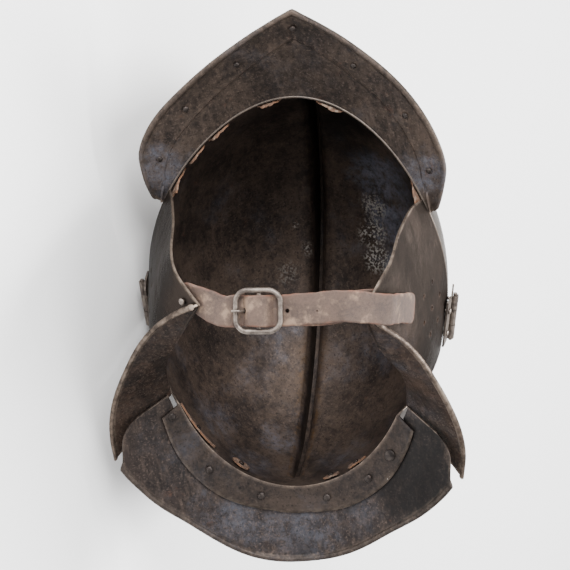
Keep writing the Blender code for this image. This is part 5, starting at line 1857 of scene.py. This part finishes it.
    def short_end(self, leather: Material) -> None:
        """Makes the short end: from the left cheekpiece round the bar and back.

        Args:
            leather: its material.
        """
        b = self.buckle
        axes = b.axes()
        bar = b.bar_level()
        radius = b.bar_radius + b.fit_gap + self.short_wall / 2
        under = -self.wall / 2 - 2 * self.fit_gap - self.short_wall / 2
        lower = under - self.short_wall - self.fit_gap
        flat = [(0.0160, under), (0.0090, under), (0.0056, 0.0005)]
        round_bar = (0.5, 0.0, -0.55, -1.1, -1.65, -2.2, -2.75)
        flat += [(radius * math.sin(a), bar + radius * math.cos(a)) for a in round_bar]
        flat += [(0.0035, bar - radius - 0.0006), (0.0095, lower)]
        flat += [(0.0200, lower - self.fit_gap), (0.0380, lower - 4 * self.fit_gap)]
        local = np.array([(x, 0.0, z) for x, z in flat])
        inside = -self.fit_gap * 4 - self.short_wall / 2
        ends = [self.left.seat(a, d, inside) for a, d in ((0.05, 0.915), (0.14, 0.885))]
        stops = np.vstack([b.at(local), [e[0] for e in ends]])
        share = np.linspace(0, 1, 200)
        path = through(stops, share)
        normals = unit(np.cross(axes[1], unit(np.gradient(path, axis=0))))
        marks = stations(stops)[-3:]
        last = facings(share, marks, np.array([-axes[2], -ends[0][1], -ends[1][1]]))
        sign = np.sign((normals[-60] * last[-60]).sum()) or 1.0
        late = np.clip((share - marks[0]) / (marks[1] - marks[0]), 0, 1)[:, None]
        normals = unit(normals * sign * (1 - late) + last * late)
        widths = np.full(len(share), self.width * self.short_share)
        form = self.ribbon(path, normals, widths, self.short_wall)
        put("strap_short_leather", form, leather, ["strap_short"], 55)

    def dress(self, leather: Material) -> None:
        """Makes both ends."""
        self.long_end(leather)
        self.short_end(leather)


# Studio


def posed(axes: tuple[np.ndarray, ...], place: np.ndarray) -> Matrix:
    """Turn and place of a thing.

    Args:
        axes: its three axes.
        place: its origin.

    Returns:
        The matrix with them as its columns.
    """
    matrix = Matrix.Identity(4)
    matrix.col[0][:3], matrix.col[1][:3], matrix.col[2][:3] = (tuple(axis) for axis in axes)
    matrix.translation = tuple(place)
    return matrix


@dataclass(frozen=True)
class Studio:
    """Camera at the photograph's angle, a pale floor and soft light."""

    turn: Triple = (0.5759587, 0.1274090, 0.0078540)
    shift: tuple[float, float] = (0.0082209, 0.0022775)
    distance: float = 1.5
    focal: float = 1.5455084 * 1500 / 570
    sensor: float = 36.0

    def camera_axes(self) -> tuple[np.ndarray, np.ndarray]:
        """Turn and place of the camera in helmet axes.

        Returns:
            Rows of the view's turn, which are right, down and ahead, and the camera's place.
        """
        vector = np.array(self.turn)
        angle = float(np.linalg.norm(vector))
        rows = np.array(Matrix.Rotation(angle, 3, vector / angle))
        place = -rows.T @ np.array([*self.shift, self.distance])
        return rows, place

    def camera(self) -> None:
        """Makes the camera."""
        rows, place = self.camera_axes()
        data = bpy.data.cameras.new("view")
        data.sensor_width = self.sensor
        data.sensor_fit = "HORIZONTAL"
        data.lens = self.focal * self.sensor
        data.clip_start = 0.05
        data.clip_end = 50
        view = add_object("view", data)
        axes = tuple(REST.turn(axis) for axis in (rows[0], -rows[1], -rows[2]))
        view.matrix_world = posed(axes, REST.place(place))
        bpy.context.scene.camera = view

    def floor(self) -> None:
        """Makes the pale floor."""
        mesh = bpy.data.meshes.new("floor")
        half, low = 6, -0.0002
        corners = [(-half, -half, low), (half, -half, low), (half, half, low), (-half, half, low)]
        mesh.from_pydata(corners, [], [[0, 1, 2, 3]])
        p = Painter("white_paper")
        tone = p.mix(p.ramp(p.noise(900, 2, 0.5), 0.3, 0.7), "#f4f4f4", "#f7f7f7")
        mesh.materials.append(p.finish(tone, 0.0, 0.9, []))
        add_object("floor", mesh)

    def lamp(self, name: str, toward: np.ndarray, reach: float, size: float, power: float) -> None:
        """Adds a square soft light that faces the helmet.

        Args:
            name: the lamp's name.
            toward: direction of the lamp in world axes.
            reach: its distance.
            size: the side of its square.
            power: its power in watts.
        """
        data = bpy.data.lights.new(name, "AREA")
        data.size = size
        data.energy = power
        back = unit(toward)
        side = unit(np.cross([0.0, 0.0, 1.0] if abs(back[2]) < 0.95 else [1.0, 0.0, 0.0], back))
        aim = np.array([0, 0, 0.1])
        add_object(name, data).matrix_world = posed((side, np.cross(back, side), back), back * reach + aim)

    def light(self) -> None:
        """Makes the light: a white surround, a lamp overhead, one over the view and one at its side."""
        world = bpy.data.worlds.new("surround")
        world.use_nodes = True
        background = world.node_tree.nodes["Background"]
        background.inputs["Color"].default_value = (1.0, 1.0, 1.0, 1.0)
        background.inputs["Strength"].default_value = 1.0
        bpy.context.scene.world = world
        rows, _ = self.camera_axes()
        right, up, toward = (REST.turn(axis) for axis in (rows[0], -rows[1], -rows[2]))
        self.lamp("overhead", np.array([0.25, 0.1, 1.0]), 1.7, 1.4, 22)
        self.lamp("front", toward + up * 0.70 + right * 0.12, 1.8, 1.0, 80)
        self.lamp("side", right + toward * 0.05 + up * 0.1, 1.5, 0.7, 60)


def main() -> None:
    """Builds the pieces in order and dresses the CAD nodes that stay."""
    studio = Studio()
    studio.camera()
    studio.floor()
    studio.light()

    bloom = (
        Spot((0.046, -0.026, 0.098), 0.028, 0.95),
        Spot((0.054, 0.008, 0.096), 0.026, 0.95),
        Spot((0.056, 0.034, 0.090), 0.018, 0.8),
        Spot((-0.054, 0.098, -0.010), 0.022, 0.30),
        Spot((-0.018, 0.124, 0.006), 0.018, 0.35),
        Spot((-0.030, 0.122, -0.040), 0.022, 0.28),
        Spot((-0.058, 0.112, -0.060), 0.016, 0.28),
        Spot((0.030, 0.118, -0.020), 0.020, 0.25),
    )
    salt = (
        Spot((0.039, 0.002, 0.107), 0.012, 0.8),
        Spot((0.038, 0.022, 0.106), 0.014, 1.0),
        Spot((0.043, 0.038, 0.100), 0.013, 1.0),
        Spot((-0.016, 0.023, 0.116), 0.003, 0.6),
        Spot((-0.007, 0.042, 0.115), 0.006, 0.6),
        Spot((-0.022, 0.056, 0.106), 0.010, 0.22),
    )
    # Painted shade: near-black over the inside of the crown towards the forehead, on the wearer's left, where
    # the bowl's ceiling lies in shade
    painted_shade = (Spot((0.022, -0.082, 0.078), 0.060, 0.80), Spot((0.060, -0.030, 0.078), 0.030, 0.40))
    inner = BlackenedIron(
        dark="#2b2523",
        brown="#4c4038",
        bloom="#686b78",
        polished="#5b544e",
        bloom_amount=0.36,
        polish_amount=0.85,
        painted_shade=painted_shade,
        patches=bloom,
        salts=salt,
    ).build()
    brim = BlackenedIron(
        name="blackened_brim_iron",
        dark="#1f1a18",
        brown="#40362f",
        bloom_amount=0.42,
        patches=(Spot((-0.084, -0.084, 0.004), 0.022, 0.8), Spot((0.082, -0.086, 0.004), 0.020, 0.8)),
    ).build()
    # Neck guard iron: a darker copy of the brim iron as painted shade, since the guard faces the lamps, with
    # painted shadow in near-black in two spots, the larger on the wearer's left beside the cheekpiece's
    # flange
    guard = BlackenedIron(
        name="blackened_guard_iron_painted_shade",
        dark="#1d1918",
        brown="#2d2623",
        bloom_amount=0.30,
        patches=(
            Spot((0.006, 0.136, -0.078), 0.028, 0.55),
            Spot((-0.040, 0.132, -0.078), 0.024, 0.55),
            Spot((0.048, 0.118, -0.075), 0.018, 0.35),
        ),
        painted_shade=(Spot((0.084, 0.088, -0.068), 0.050, 0.8), Spot((0.010, 0.150, -0.080), 0.012, 0.5)),
    ).build()
    cheek = BlackenedIron(
        name="rubbed_cheek_iron",
        polished="#332d29",
        polish_amount=0.92,
        grazing=0.22,
    ).build()
    iron = FittingIron().build()
    quiet = FittingIron(name="dark_rivet_iron", dark="#1d1918", light="#3c3633").build()
    leather = StrapLeather().build()
    lining = LiningLeather().build()

    Bowl().dress(inner)
    Peak().dress(brim)
    NeckGuard().dress(guard)
    left, right = Cheekpiece(Side.LEFT), Cheekpiece(Side.RIGHT)
    left.dress(cheek)
    right.dress(cheek)
    Lining().dress(lining)
    Fastenings().dress(iron, quiet)
    buckle = Buckle()
    buckle.dress(iron)
    ChinStrap(buckle, left, right).dress(leather)


if __name__ == "__main__":
    logging.basicConfig(level=logging.INFO, format="%(name)s: %(message)s")
    main()
